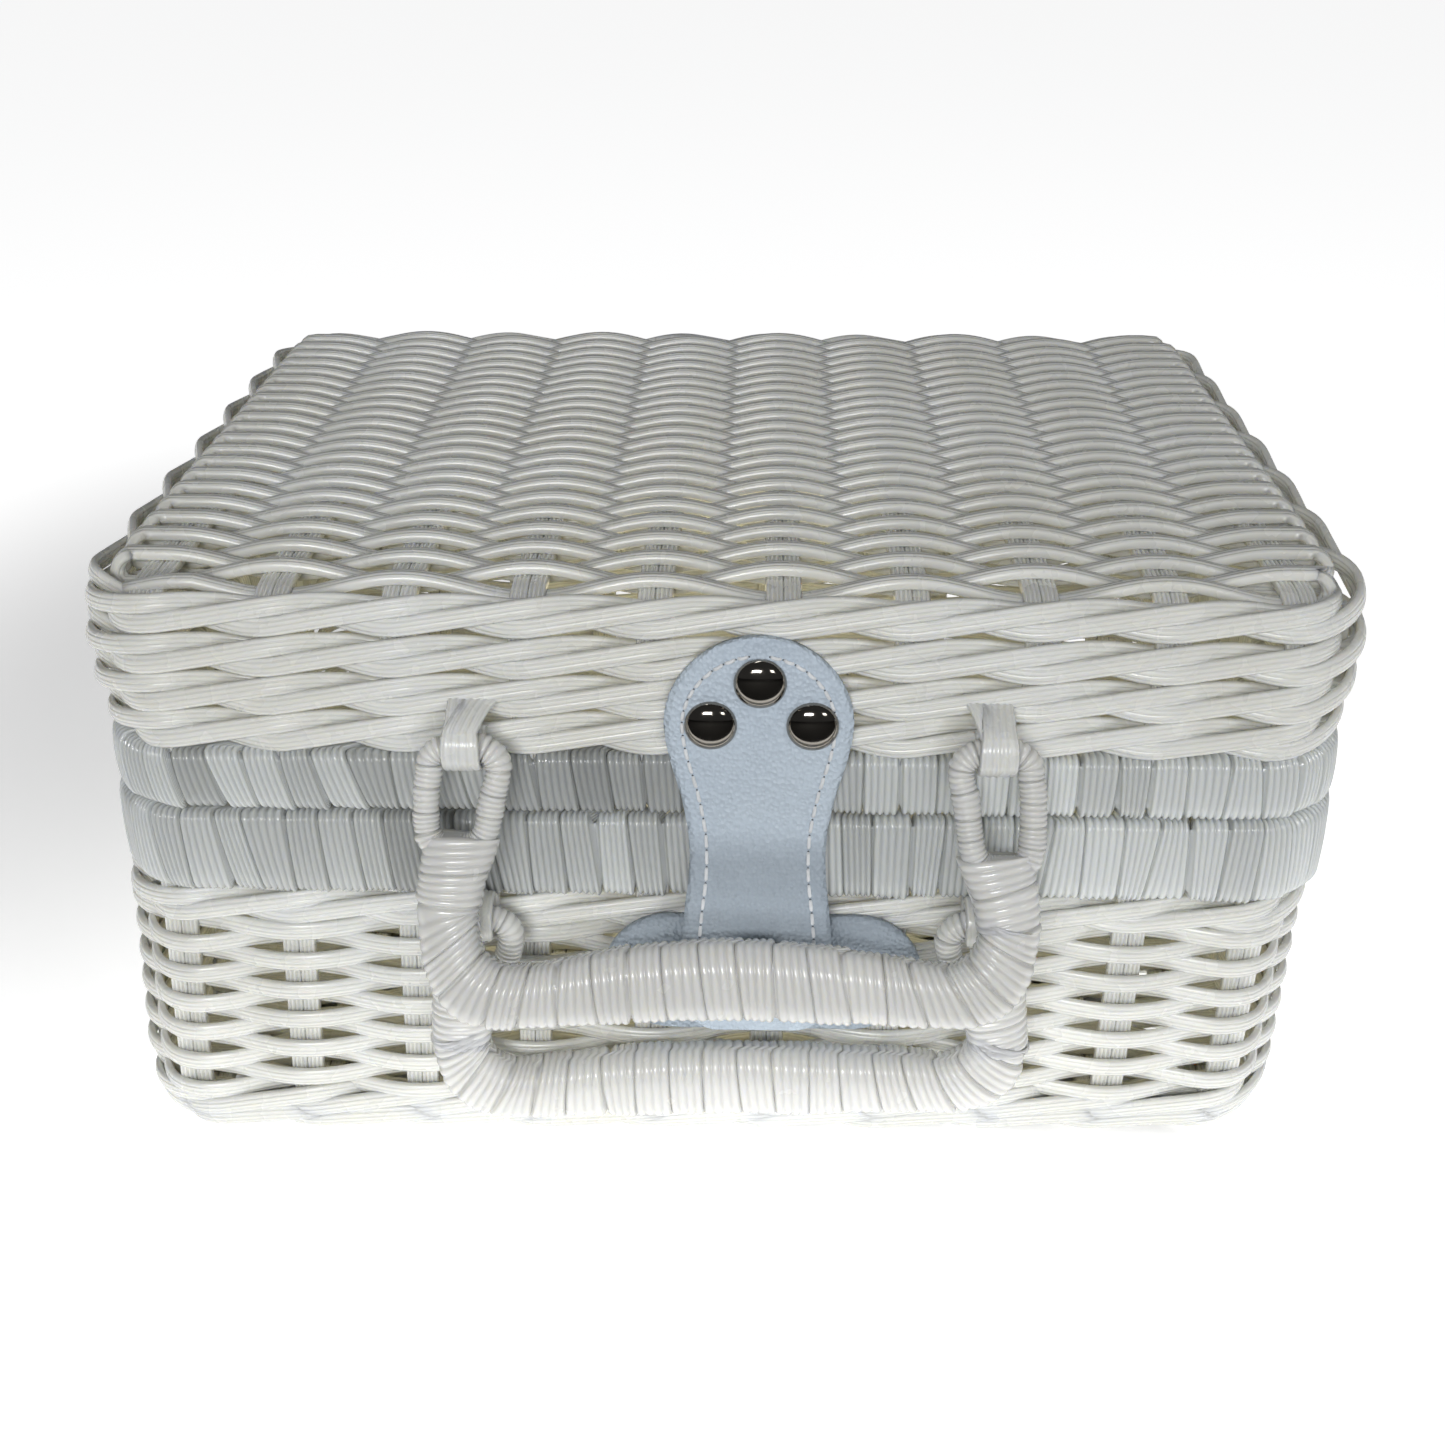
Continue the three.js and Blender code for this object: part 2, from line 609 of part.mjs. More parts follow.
function addPatch(parent) {
  const frame = frontFrame(parent, PATCH.x, FRONT_OF_BODY - CLEARANCE, PATCH.z);
  const radius = PATCH.height / 2;
  const straight = PATCH.width / 2 - radius;
  const shape = new THREE.Shape();
  shape.absarc(-straight, 0, radius, Math.PI / 2, 1.5 * Math.PI, false);
  shape.absarc(straight, 0, radius, -Math.PI / 2, Math.PI / 2, false);
  shape.closePath();
  for (const side of [-1, 1]) {
    shape.holes.push(roundHole(side * PATCH_RIVET_OFFSET, 0, SHANK_HOLE_RADIUS));
  }
  piece(frame, "stud_patch", plate(shape, PATCH.thickness), PALE_LEATHER);
  const face = PATCH.thickness + CLEARANCE;
  const shank = face + CLEARANCE + WEAVE;
  const rivet = rivetProfile(PATCH_RIVET_RADIUS, PATCH_RIVET_HEIGHT, SHANK_RADIUS, shank);
  for (const [side, sign] of [["left", -1], ["right", 1]]) {
    const x = sign * PATCH_RIVET_OFFSET;
    addTurned(frame, `patch_rivet_${side}`, rivet, x, 0, face, SMALL_SEGMENTS);
  }
  const socket = [
    [0, 0],
    [STUD_SOCKET_RADIUS, 0],
    [STUD_SOCKET_RADIUS, STUD_SOCKET_HEIGHT],
    [0, STUD_SOCKET_HEIGHT],
  ];
  const socketX = STRAP_X - PATCH.x;
  addTurned(frame, "press_stud_socket", socket, socketX, STUD_Z - PATCH.z, face, ROUND_SEGMENTS);
}

const trunk = new THREE.Group();
addBody(trunk);
addLid(trunk);
addHingeBindings(trunk);
addHandle(trunk, "lid_handle", LID_HANDLE);
addHandle(trunk, "body_handle", BODY_HANDLE);
addLoops(trunk, "lid_handle", LID_HANDLE, FRONT_OF_LID, 1);
addLoops(trunk, "body_handle", BODY_HANDLE, FRONT_OF_BODY, -1);
addStrap(trunk);
addPatch(trunk);

export default trunk;
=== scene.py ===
"""The looks of a storage trunk woven from plastic cane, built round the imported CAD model.

Shapes are worked out in millimetres, in the CAD's frame: +X right, +Y back, +Z up. Meshes are in metres.
"""
import json
import math

import bmesh
import bpy
import numpy as np
from mathutils import Euler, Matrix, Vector


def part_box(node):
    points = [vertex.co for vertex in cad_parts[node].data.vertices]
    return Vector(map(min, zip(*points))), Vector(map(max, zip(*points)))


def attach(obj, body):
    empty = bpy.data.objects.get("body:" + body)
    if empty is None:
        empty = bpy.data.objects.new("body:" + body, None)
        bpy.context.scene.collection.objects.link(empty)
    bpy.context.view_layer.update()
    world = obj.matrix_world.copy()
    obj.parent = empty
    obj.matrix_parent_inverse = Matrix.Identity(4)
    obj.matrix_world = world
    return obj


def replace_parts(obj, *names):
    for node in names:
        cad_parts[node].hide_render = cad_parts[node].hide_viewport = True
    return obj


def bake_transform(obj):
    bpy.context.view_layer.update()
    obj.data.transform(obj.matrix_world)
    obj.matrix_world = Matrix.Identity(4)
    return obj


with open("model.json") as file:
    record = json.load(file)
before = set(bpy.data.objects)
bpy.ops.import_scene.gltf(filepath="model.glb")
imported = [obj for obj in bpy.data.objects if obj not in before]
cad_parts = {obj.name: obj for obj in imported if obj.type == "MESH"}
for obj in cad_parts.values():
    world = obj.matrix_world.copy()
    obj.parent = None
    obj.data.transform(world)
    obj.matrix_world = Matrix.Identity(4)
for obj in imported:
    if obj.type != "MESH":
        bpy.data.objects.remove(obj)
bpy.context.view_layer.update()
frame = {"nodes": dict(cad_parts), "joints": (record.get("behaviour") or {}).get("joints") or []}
RANDOM = np.random.default_rng(11)
METRES = 0.001


def box_mm(node):
    """A CAD node's lowest and highest corner, in millimetres."""
    low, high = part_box(node)
    return np.array(low) / METRES, np.array(high) / METRES


def joint_place(name):
    """A joint's position, in millimetres."""
    joint = next(joint for joint in frame["joints"] if joint["name"] == name)
    return np.array(joint["pos_m"]) / METRES


# -------- driving sizes
LID_HIGH = box_mm("lid_side_weave")[1]
BODY_HIGH = box_mm("body_side_weave")[1]
LID_RIM_LOW, LID_RIM_HIGH = box_mm("lid_rim_wrap")
BODY_RIM_LOW, BODY_RIM_HIGH = box_mm("body_rim_wrap")
TOP_Z = box_mm("lid_top_weave")[1][2]
SEAM_Z = joint_place("lid_hinge")[2]
CORNER_RADIUS = 24.0
RIM_THICKNESS = 9.0

CANE_WIDTH = 4.6
CANE_THICKNESS = 2.4
WALE_WIDTH = 4.9
WALE_LEAVES = 0.22  # stakes past the inside one at which a strand starts to come out
WALE_CROSSING = 0.82  # stakes that it takes to come out
STAKE_WIDTH = 4.4  # one of the two strands of a double stake
STAKE_THICKNESS = 2.6
SWING = 3.0  # how far a weaver passes outside and inside the stakes' middle
PANEL_SWING = 2.5
WALL_MIDDLE = SWING + CANE_THICKNESS / 2  # from the wall's outside to the stakes' middle
STAKE_SPACING = 29.3
STAKE_BEND = 10.0  # radius at the trunk's edges
SIDE_STAKE_REACH = 26.0  # how far a side's stake runs in under the panel
FRONT_STAKES = 10
SIDE_STAKES = 7
STAKES = 2 * (FRONT_STAKES + SIDE_STAKES)
FRONT_X, SIDE_Y = (
    (np.arange(count) - (count - 1) / 2) * STAKE_SPACING for count in (FRONT_STAKES, SIDE_STAKES)
)
STEPS_PER_STAKE = 12
ROW_PITCH = 4.5
CORNER_INSET = 14.0
TURN_INSET = 5.0  # from the stakes' middle in a wall to a panel row's end
WALE_ROUNDS = 4

# The basket hangs fuller on its left, more so towards its foot
FULLER_TOP = 3.4
FULLER_FOOT = 7.2
BASE_TWIST = 2.6  # how far its front corners are turned round at the foot
FOOT_ROUNDING = 4.5
FOOT_HEIGHT = 16.0
LID_FULLNESS = 0.014


# -------- mesh building
def turn_outwards(mesh):
    """Make every face look out of its strand."""
    work = bmesh.new()
    work.from_mesh(mesh)
    bmesh.ops.recalc_face_normals(work, faces=work.faces)
    work.to_mesh(mesh)
    work.free()


class Shape:
    """Vertices and faces gathered from several sweeps, then made into one object."""

    def __init__(self):
        self.vertices, self.grooves, self.tones, self.faces = [], [], [], []
        self.count = 0

    def grid(self, points, groove=0.0, closed_rows=False, capped=False, tone=None):
        """A surface through points[row, column], whose columns close, with flat ends if it is capped.

        groove counts the fine grooves across the surface, one at each whole number. tone is how light
        it is, from 0 to 1, or left to chance.
        """
        rows, columns = points.shape[:2]
        index = self.count + np.arange(rows * columns).reshape(rows, columns)
        self.vertices.append(points.reshape(-1, 3))
        self.grooves.append(np.broadcast_to(groove, (rows, columns)).ravel())
        tone = RANDOM.uniform() if tone is None else tone
        self.tones.append(np.broadcast_to(tone, (rows, columns)).ravel())
        self.count += rows * columns
        below = index if closed_rows else index[:-1]
        above = np.roll(index, -1, axis=0) if closed_rows else index[1:]
        corners = [below, np.roll(below, -1, axis=1), np.roll(above, -1, axis=1), above]
        self.faces.extend(np.stack(corners, axis=-1).reshape(-1, 4).tolist())
        if capped:
            self.faces.append(index[0][::-1].tolist())
            self.faces.append(index[-1].tolist())

    def make(self, name, material, body, warp=None):
        """The object, riding on its body, or on none yet where body is None."""
        vertices = np.concatenate(self.vertices)
        if warp:
            vertices = warp(vertices)
        mesh = bpy.data.meshes.new(name)
        mesh.from_pydata((vertices * METRES).tolist(), [], self.faces)
        turn_outwards(mesh)
        mesh.materials.append(material)
        mesh.polygons.foreach_set("use_smooth", [True] * len(mesh.polygons))
        for word, values in (("groove", self.grooves), ("tone", self.tones)):
            mesh.attributes.new(word, "FLOAT", "POINT").data.foreach_set("value", np.concatenate(values))
        mesh.update()
        thing = bpy.data.objects.new(name, mesh)
        bpy.context.scene.collection.objects.link(thing)
        if body:
            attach(thing, body)
        return thing


def unit(vectors):
    return vectors / np.maximum(np.linalg.norm(vectors, axis=-1, keepdims=True), 1e-9)


def eased(value):
    value = np.clip(value, 0, 1)
    return value * value * (3 - 2 * value)


def tangents(path, closed=False):
    """Unit vectors along a path."""
    if closed:
        return unit(np.roll(path, -1, axis=0) - np.roll(path, 1, axis=0))
    return unit(np.gradient(path, axis=0))


def swept(path, normals, section, closed=False, widths=1.0):
    """The grid of a strand's section carried along a path, its flat face towards the normals.

    widths are the strand's widths along the path, as shares of the section's.
    """
    tangent = tangents(path, closed)
    across = unit(np.cross(tangent, normals))
    out = np.cross(across, tangent)
    return (
        path[:, None]
        + section.outline[:, 0, None] * across[:, None] * np.reshape(widths, (-1, 1, 1))
        + section.outline[:, 1, None] * out[:, None]
    )


class Section:
    """The outline of a strand, across and out, with its count of grooves at each point."""

    def __init__(self, outline, grooves):
        self.outline = np.array(outline)
        half = np.abs(self.outline[:, 0]).max()
        self.groove = self.outline[:, 0] / half * grooves / 2


def round_points(count, power=2.0):
    """Points round a circle, as two arrays. A power above 2 makes it squarer."""
    angle = np.linspace(0, 2 * np.pi, count, endpoint=False)
    across, out = np.cos(angle), np.sin(angle)
    reach = (np.abs(across) ** power + np.abs(out) ** power) ** (-1 / power)
    return across * reach, out * reach


def oval(width, thickness, grooves, samples=14, power=2.15):
    """A flattened oval strand."""
    across, out = round_points(samples, power)
    return Section(np.column_stack([across * width / 2, out * thickness / 2]), grooves)


def ribbed(width, thickness, ribs, depth):
    """A strip with round ribs along its outer face and a plain inner face."""
    share = np.linspace(0, 1, ribs * 4 + 1)
    across = (share - 0.5) * width
    shoulder = (1 - np.abs(2 * share - 1) ** 4) ** 0.5
    face = shoulder * thickness / 2 - depth * (1 - np.abs(np.sin(np.pi * ribs * share)))
    back_share = np.linspace(-1, 1, 7)[1:-1]
    outer = np.column_stack([across, face])[::-1]
    inner = np.column_stack([back_share * width / 2, np.full(5, -thickness / 2)])
    return Section(np.concatenate([outer, inner]), ribs)


CANE = oval(CANE_WIDTH + 0.5, CANE_THICKNESS, 4)
WALE_CANE = oval(WALE_WIDTH, CANE_THICKNESS, 4)
TOP_CANE = oval(5.4, 3.3, 4)
STAKE = ribbed(STAKE_WIDTH, STAKE_THICKNESS, 4, 0.35)
LOOP_STRIP = ribbed(9.0, 1.2, 5, 0.3)
NARROW_STRIP = ribbed(5.4, 1.1, 3, 0.3)
HINGE_STRIP = ribbed(8.4, 1.4, 5, 0.3)


def spline(points, per_span=8, closed=False):
    """A smooth line through points of any number of dimensions."""
    points = np.array(points, float)
    if closed:
        knots = np.concatenate([points[-1:], points, points[:2]])
    else:
        knots = np.concatenate([2 * points[:1] - points[1:2], points, 2 * points[-1:] - points[-2:-1]])
    line = []
    for a, b, c, d in zip(knots, knots[1:], knots[2:], knots[3:]):
        for t in np.arange(per_span) / per_span:
            bend = 2 * a - 5 * b + 4 * c - d
            line.append(b + 0.5 * t * (c - a + t * (bend + t * (3 * (b - c) + d - a))))
    line.append(knots[-2])
    return np.array(line)


class Track:
    """Rows of numbers read by distance along the line that their first columns draw."""

    def __init__(self, rows, dimensions):
        self.rows = rows
        steps = np.linalg.norm(np.diff(rows[:, :dimensions], axis=0), axis=1)
        self.along = np.concatenate([[0], np.cumsum(steps)])
        self.length = self.along[-1]

    def at(self, distance):
        columns = [np.interp(distance, self.along, column) for column in self.rows.T]
        return np.stack(columns, axis=-1)


# -------- plan outline
class Outline(Track):
    """A rounded rectangle in plan, walked anticlockwise from the middle of the back."""

    def __init__(self, half_x, half_y, radius):
        rows = [[0, half_y, 0, 1.0]]
        for number, (sign_x, sign_y) in enumerate([(-1, 1), (-1, -1), (1, -1), (1, 1)]):
            centre = [sign_x * (half_x - radius), sign_y * (half_y - radius)]
            for angle in np.pi / 2 * (1 + number + np.linspace(0, 1, 60)):
                normal = np.array([math.cos(angle), math.sin(angle)])
                rows.append([*(centre + radius * normal), *normal])
        rows.append([0, half_y, 0, 1.0])
        super().__init__(np.array(rows), 2)

    def outside(self, along, outset=0.0):
        """Plan points moved out by outset, and their outward normals."""
        row = self.at(np.mod(along, self.length))
        normal = unit(row[:, 2:4])
        return row[:, 0:2] + np.reshape(outset, (-1, 1)) * normal, normal

    def crossing(self, axis, place, side):
        """Distance along to a place on an axis, 0 for x or 1 for y, on one side of the other axis."""
        fine = np.linspace(0, self.length, 6000, endpoint=False)
        points, _ = self.outside(fine)
        miss = np.abs(points[:, axis] - place) + 1e3 * (points[:, 1 - axis] * side < 0)
        return fine[np.argmin(miss)]


class Wall:
    """The woven wall of the lid or of the basket: an outline through the middle of its stakes."""

    def __init__(self, high_corner):
        self.half_x, self.half_y = high_corner[0] - WALL_MIDDLE, high_corner[1] - WALL_MIDDLE
        self.outline = Outline(self.half_x, self.half_y, CORNER_RADIUS - WALL_MIDDLE)
        half = FRONT_STAKES // 2
        walk = [  # from the middle of the back: the axis along each side, places on it, and the side
            (0, FRONT_X[:half][::-1], 1), (1, SIDE_Y[::-1], -1), (0, FRONT_X, -1), (1, SIDE_Y, 1),
            (0, FRONT_X[half:][::-1], 1),
        ]
        places = [
            self.outline.crossing(axis, place, side) for axis, row, side in walk for place in row
        ]
        self.numbers = np.arange(-3, STAKES + 4)
        rounds, stake = np.divmod(self.numbers, STAKES)
        self.places = np.array(places)[stake] + self.outline.length * rounds

    def strand(self, stake_number, outset, height):
        """Path and normals of a strand round the wall; stake_number may lie between two stakes."""
        along = np.interp(stake_number, self.numbers, self.places)
        plan, normal = self.outline.outside(along, outset)
        path = np.column_stack([plan, np.broadcast_to(height, len(plan))])
        return path, np.column_stack([normal, np.zeros(len(plan))])


LID_WALL = Wall(LID_HIGH)
BODY_WALL = Wall(BODY_HIGH)


def wobble(count, size, smoothness=14):
    """A gentle seeded unevenness for a hand-laid strand."""
    knots = RANDOM.normal(0, size, max(4, count // smoothness) + 2)
    return np.interp(np.linspace(0, len(knots) - 1, count), np.arange(len(knots)), knots)


def lopsided_basket(points):
    """The basket's fullness on its left, its twist, and the rounding of its foot."""
    half = BODY_HIGH[0]
    share = np.clip((half - points[:, 0]) / (2 * half), 0, 1)
    low = np.clip(1 - points[:, 2] / BODY_RIM_LOW[2], 0, 1)
    foot = np.clip(1 - points[:, 2] / FOOT_HEIGHT, 0, 1) ** 2
    moved = points.copy()
    moved[:, 0] -= share * (FULLER_TOP + (FULLER_FOOT - FULLER_TOP) * low)
    moved[:, 0] -= FOOT_ROUNDING * foot * points[:, 0] / half
    moved[:, 1] += BASE_TWIST * low * points[:, 0] / half
    return moved


def full_lid(points):
    """The lid's sides, a little barrelled."""
    height = np.clip((points[:, 2] - LID_RIM_HIGH[2]) / (TOP_Z - LID_RIM_HIGH[2]), 0, 1)
    moved = points.copy()
    moved[:, 0] *= 1 + LID_FULLNESS * np.sin(np.pi * height**0.8)
    return moved


# -------- weaving
def plain_rows(shape, wall, heights):
    """Rows of plain weave round a wall, each outside every other stake."""
    number = np.linspace(0, STAKES, STAKES * STEPS_PER_STAKE, endpoint=False)
    for row, height in enumerate(heights):
        outset = SWING * np.cos(np.pi * (number + row)) + wobble(len(number), 0.1)
        level = height + wobble(len(number), 0.15) * np.sin(np.pi * number / STAKES)
        path, normals = wall.strand(number, outset, level)
        shape.grid(swept(path, normals, CANE, closed=True), CANE.groove, closed_rows=True)


def wale_round(shape, wall, height, rise, bulge, rods=3):
    """One round of three-rod wale: each strand lies outside two stakes and inside the third.

    A strand climbs by rise from one outside stake to the next, and comes level again as it passes
    inside, so it slips out from behind its neighbour and in below it.
    """
    tuck = 1.4  # the strands' ends lie side by side at the back, from one stake before it to past it
    number = np.linspace(-tuck, STAKES + 0.4, int((STAKES + tuck) * STEPS_PER_STAKE))
    for rod in range(rods):
        phase = np.mod(number - rod, rods)
        stakes_away = np.minimum(phase, rods - phase)  # from the stake that it passes inside
        inside = 1 - eased((stakes_away - WALE_LEAVES) / WALE_CROSSING)
        outset = SWING * (1 - 2 * inside) + bulge + wobble(len(number), 0.15)
        end = np.maximum(eased(-number / tuck), eased((number - STAKES) / 0.4))
        climb = (phase - rods / 2) * rise * eased(stakes_away - 0.1)
        path, normals = wall.strand(number, outset - end, height + climb + wobble(len(number), 0.12))
        normals[:, 2] = 0.12 * (1 - inside)
        shape.grid(swept(path, unit(normals), WALE_CANE), WALE_CANE.groove, capped=True)


def panel_rows(front, back, pitch, front_extra, extra_rows):
    """Places of a panel's rows, laid looser towards the front."""
    rows = [front]
    while rows[-1] < back:
        rows.append(rows[-1] + pitch + front_extra * math.exp(-len(rows) / extra_rows))
    rows = np.array(rows)
    return front + (rows - front) * (back - front) / (rows[-1] - front)


def panel_weaver(shape, wall, rows, middle_z, up):
    """One long weaver that goes to and fro across the double stakes of the base or the lid's top."""
    corner = CORNER_RADIUS - WALL_MIDDLE
    path, normals = [], []
    for row, y in enumerate(rows):
        side = 1 if row % 2 == 0 else -1
        into_corner = max(0.0, abs(y) - wall.half_y + corner) / corner
        turn_x = wall.half_x - TURN_INSET - CORNER_INSET * (1 - math.sqrt(max(0.0, 1 - into_corner**2)))
        x = np.linspace(-turn_x, turn_x, FRONT_STAKES * STEPS_PER_STAKE) * side
        stake = np.clip((x - FRONT_X[0]) / STAKE_SPACING, 0, FRONT_STAKES - 1)
        swing = PANEL_SWING * np.cos(np.pi * (stake + row))
        path.append(np.column_stack([x, y + wobble(len(x), 0.12), middle_z + up * swing]))
        normals.append(np.tile([0, 0, -side * up], (len(x), 1)))
        if row + 1 < len(rows):
            angle = np.linspace(-np.pi / 2, np.pi / 2, 9)[1:-1]
            turn_y = y + (rows[row + 1] - y) * (angle / np.pi + 0.5)
            turn_out = side * (turn_x + PANEL_SWING * np.cos(angle))
            path.append(np.column_stack([turn_out, turn_y, middle_z + up * PANEL_SWING * np.sin(angle)]))
            normals.append(np.column_stack([np.cos(angle), 0 * angle, side * up * np.sin(angle)]))
    path, normals = np.concatenate(path), np.concatenate(normals)
    tuck = up * np.linspace(3.5, 0, 8)
    path[:8, 2] -= tuck
    path[-8:, 2] -= tuck[::-1]
    shape.grid(swept(path, normals, TOP_CANE), TOP_CANE.groove, capped=True)


def double_stake(shape, path, normals):
    """Two strands laid side by side along a path."""
    across = unit(np.cross(tangents(path), normals))
    for side in (-1, 1):
        beside = path + side * STAKE_WIDTH * 0.46 * across
        shape.grid(swept(beside, normals, STAKE), STAKE.groove, capped=True)


def rounded_route(corners, step=5.0):
    """A polyline in two dimensions with its inner corners rounded."""
    corners = [np.array(corner, float) for corner in corners]
    route = [corners[0]]
    share = np.linspace(0, 1, 9)[:, None]
    for before, corner, after in zip(corners, corners[1:], corners[2:]):
        enter = corner + unit(before - corner) * STAKE_BEND
        leave = corner + unit(after - corner) * STAKE_BEND
        route.extend((1 - share) ** 2 * enter + 2 * share * (1 - share) * corner + share**2 * leave)
    route.append(corners[-1])
    track = Track(np.array(route), 2)
    wanted = np.linspace(0, track.length, int(track.length / step) + 2)
    return track.at(np.unique(np.concatenate([wanted, track.along])))


def left_normals(route):
    """Unit normals on the left of a two-dimensional route."""
    along = tangents(route)
    return np.column_stack([-along[:, 1], along[:, 0]])


def stakes_of(shape, wall, rim_z, panel_z):
    """All the double stakes of a shell: ten from front to back, seven down each side."""
    up = 1 if panel_z > rim_z else -1
    for x in FRONT_X:
        y = wall.outline.at(wall.outline.crossing(0, x, 1))[1]
        route = rounded_route([(-y, rim_z), (-y, panel_z), (y, panel_z), (y, rim_z)])
        normals = np.insert(left_normals(route) * up, 0, 0, axis=1)
        double_stake(shape, np.insert(route, 0, x, axis=1), normals)
    x, under = wall.half_x, panel_z - up * (STAKE_THICKNESS + 1.5)
    route = rounded_route([(x, rim_z), (x, under), (x - SIDE_STAKE_REACH, under)])
    for side in (-1, 1):
        normals = np.insert(-left_normals(route) * [side * up, up], 1, 0, axis=1)
        for y in SIDE_Y:
            double_stake(shape, np.insert(route * [side, 1], 1, y, axis=1), normals)


# -------- materials
class Finish:
    """A material built from nodes. Each method adds some and gives back their output."""

    def __init__(self, name):
        self.material = bpy.data.materials.new(name)
        self.material.use_nodes = True
        self.nodes = self.material.node_tree.nodes
        self.links = self.material.node_tree.links

    def feed(self, node, values):
        """Link outputs to a node's inputs, or set them to plain values."""
        for word, value in values.items():
            if isinstance(value, bpy.types.NodeSocket):
                self.links.new(value, node.inputs[word])
            else:
                node.inputs[word].default_value = value

    def shaded(self, values):
        """The material, once its shader's inputs are fed."""
        self.feed(self.nodes["Principled BSDF"], values)
        return self.material

    def add(self, kind, output, values, **settings):
        """A new node's output, once its settings are made and its inputs fed."""
        node = self.nodes.new(f"ShaderNode{kind}")
        for word, setting in settings.items():
            setattr(node, word, setting)
        self.feed(node, values)
        return node.outputs[output]

    def place(self):
        """Where a point is in its object's own frame."""
        return self.add("TexCoord", "Object", {})

    def attribute(self, word):
        return self.add("Attribute", "Fac", {}, attribute_name=word)

    def part(self, vector, axis):
        return self.add("SeparateXYZ", axis, {"Vector": vector})

    def maths(self, operation, *values, kind="Math", output=0):
        """The result of a maths node; kind is VectorMath for vectors."""
        return self.add(kind, output, dict(enumerate(values)), operation=operation)

    def noise(self, scale, detail):
        return self.add("TexNoise", "Fac", {"Vector": self.place(), "Scale": scale, "Detail": detail})

    def ramp(self, value, stops):
        """A colour ramp; stops are (position, colour)."""
        colour = self.add("ValToRGB", "Color", {"Fac": value})
        for element, (position, tint) in zip(colour.node.color_ramp.elements, stops):
            element.position = position
            element.color = (*tint, 1)
        return colour

    def map_range(self, value, from_low, from_high, to_low=0.0, to_high=1.0, smooth=False):
        ends = {"From Min": from_low, "From Max": from_high, "To Min": to_low, "To Max": to_high}
        kind = "SMOOTHSTEP" if smooth else "LINEAR"
        return self.add("MapRange", "Result", {"Value": value, **ends}, interpolation_type=kind)

    def darkened(self, colour, share):
        """The colour times a share from 0 to 1."""
        return self.add("VectorMath", "Vector", {0: colour, "Scale": share}, operation="SCALE")

    def bump(self, height, strength, distance):
        values = {"Height": height, "Strength": strength, "Distance": distance}
        return self.add("Bump", "Normal", values)

    def groove_depth(self, width):
        """0 at the bottom of a strand's fine grooves and 1 beyond them."""
        distance = self.maths("PINGPONG", self.attribute("groove"), 0.5)
        return self.map_range(distance, 0.0, width, smooth=True)


def cane_material(name, light, dark, roughness, groove_width, groove_painted_shade, darkest):
    """Grooved plastic: a tone from strand to strand, soft gloss, and painted shade in its fine grooves.
    """
    finish = Finish(name)
    colour = finish.ramp(finish.noise(18.0, 3.0), [(0.3, dark), (0.7, light)])
    tone = finish.map_range(finish.attribute("tone"), 0.0, 1.0, darkest, 1.0)
    depth = finish.groove_depth(groove_width)
    # painted shade: the colour darkened in the fine grooves
    painted_groove_shade = finish.map_range(depth, 0.0, 1.0, groove_painted_shade, 1.0)
    fine = finish.noise(140.0, 2.0)
    return finish.shaded({
        "Base Color": finish.darkened(finish.darkened(colour, tone), painted_groove_shade),
        "Roughness": finish.map_range(fine, 0.3, 0.7, roughness - 0.04, roughness + 0.08),
        "Specular IOR Level": 0.9,
        "Subsurface Weight": 0.4,
        "Subsurface Radius": (1.0, 0.88, 0.58),
        "Subsurface Scale": 0.0022,
        "Normal": finish.bump(depth, 0.8, 0.00018),
    })


def metal_material(name, colour, roughness):
    """Polished or dull metal with faint wear."""
    finish = Finish(name)
    wear = finish.noise(160.0, 3.0)
    lighter = tuple(min(1.0, part * 1.15) for part in colour)
    return finish.shaded({
        "Base Color": finish.ramp(wear, [(0.35, colour), (0.7, lighter)]),
        "Metallic": 1.0,
        "Roughness": finish.map_range(wear, 0.3, 0.7, roughness * 0.8, roughness * 1.3),
    })


def leather_material(bend_low=0.058, bend_high=0.097, painted_shade_share=0.70):
    """Pale blue-grey coated leather with a fine pebble grain.

    Between two heights, in metres, where it bends over the rims, it carries painted shade: its colour is
    darkened there to the share given after them.
    """
    finish = Finish("pale_leather")
    colour = finish.ramp(finish.noise(30.0, 3.0), [(0.3, (0.55, 0.64, 0.74)), (0.7, (0.61, 0.70, 0.79))])
    # painted shade on the strap between the two heights
    height = finish.part(finish.place(), "Z")
    above = finish.map_range(height, bend_high - 0.011, bend_high, painted_shade_share, 1.0, smooth=True)
    below = finish.map_range(height, bend_low, bend_low + 0.010, 1.0, painted_shade_share, smooth=True)
    grain = finish.add("TexVoronoi", "Distance", {"Scale": 900.0, "Vector": finish.place()})
    return finish.shaded({
        "Base Color": finish.darkened(colour, finish.maths("MAXIMUM", above, below)),
        "Roughness": 0.42,
        "Normal": finish.bump(grain, 0.7, 0.0009),
    })


def plain_material(name, colour, roughness):
    """A matt finish with a slight mottling."""
    finish = Finish(name)
    darker = tuple(part * 0.85 for part in colour)
    mottle = finish.noise(400.0, 2.0)
    return finish.shaded({
        "Base Color": finish.ramp(mottle, [(0.3, darker), (0.7, colour)]),
        "Roughness": roughness,
    })
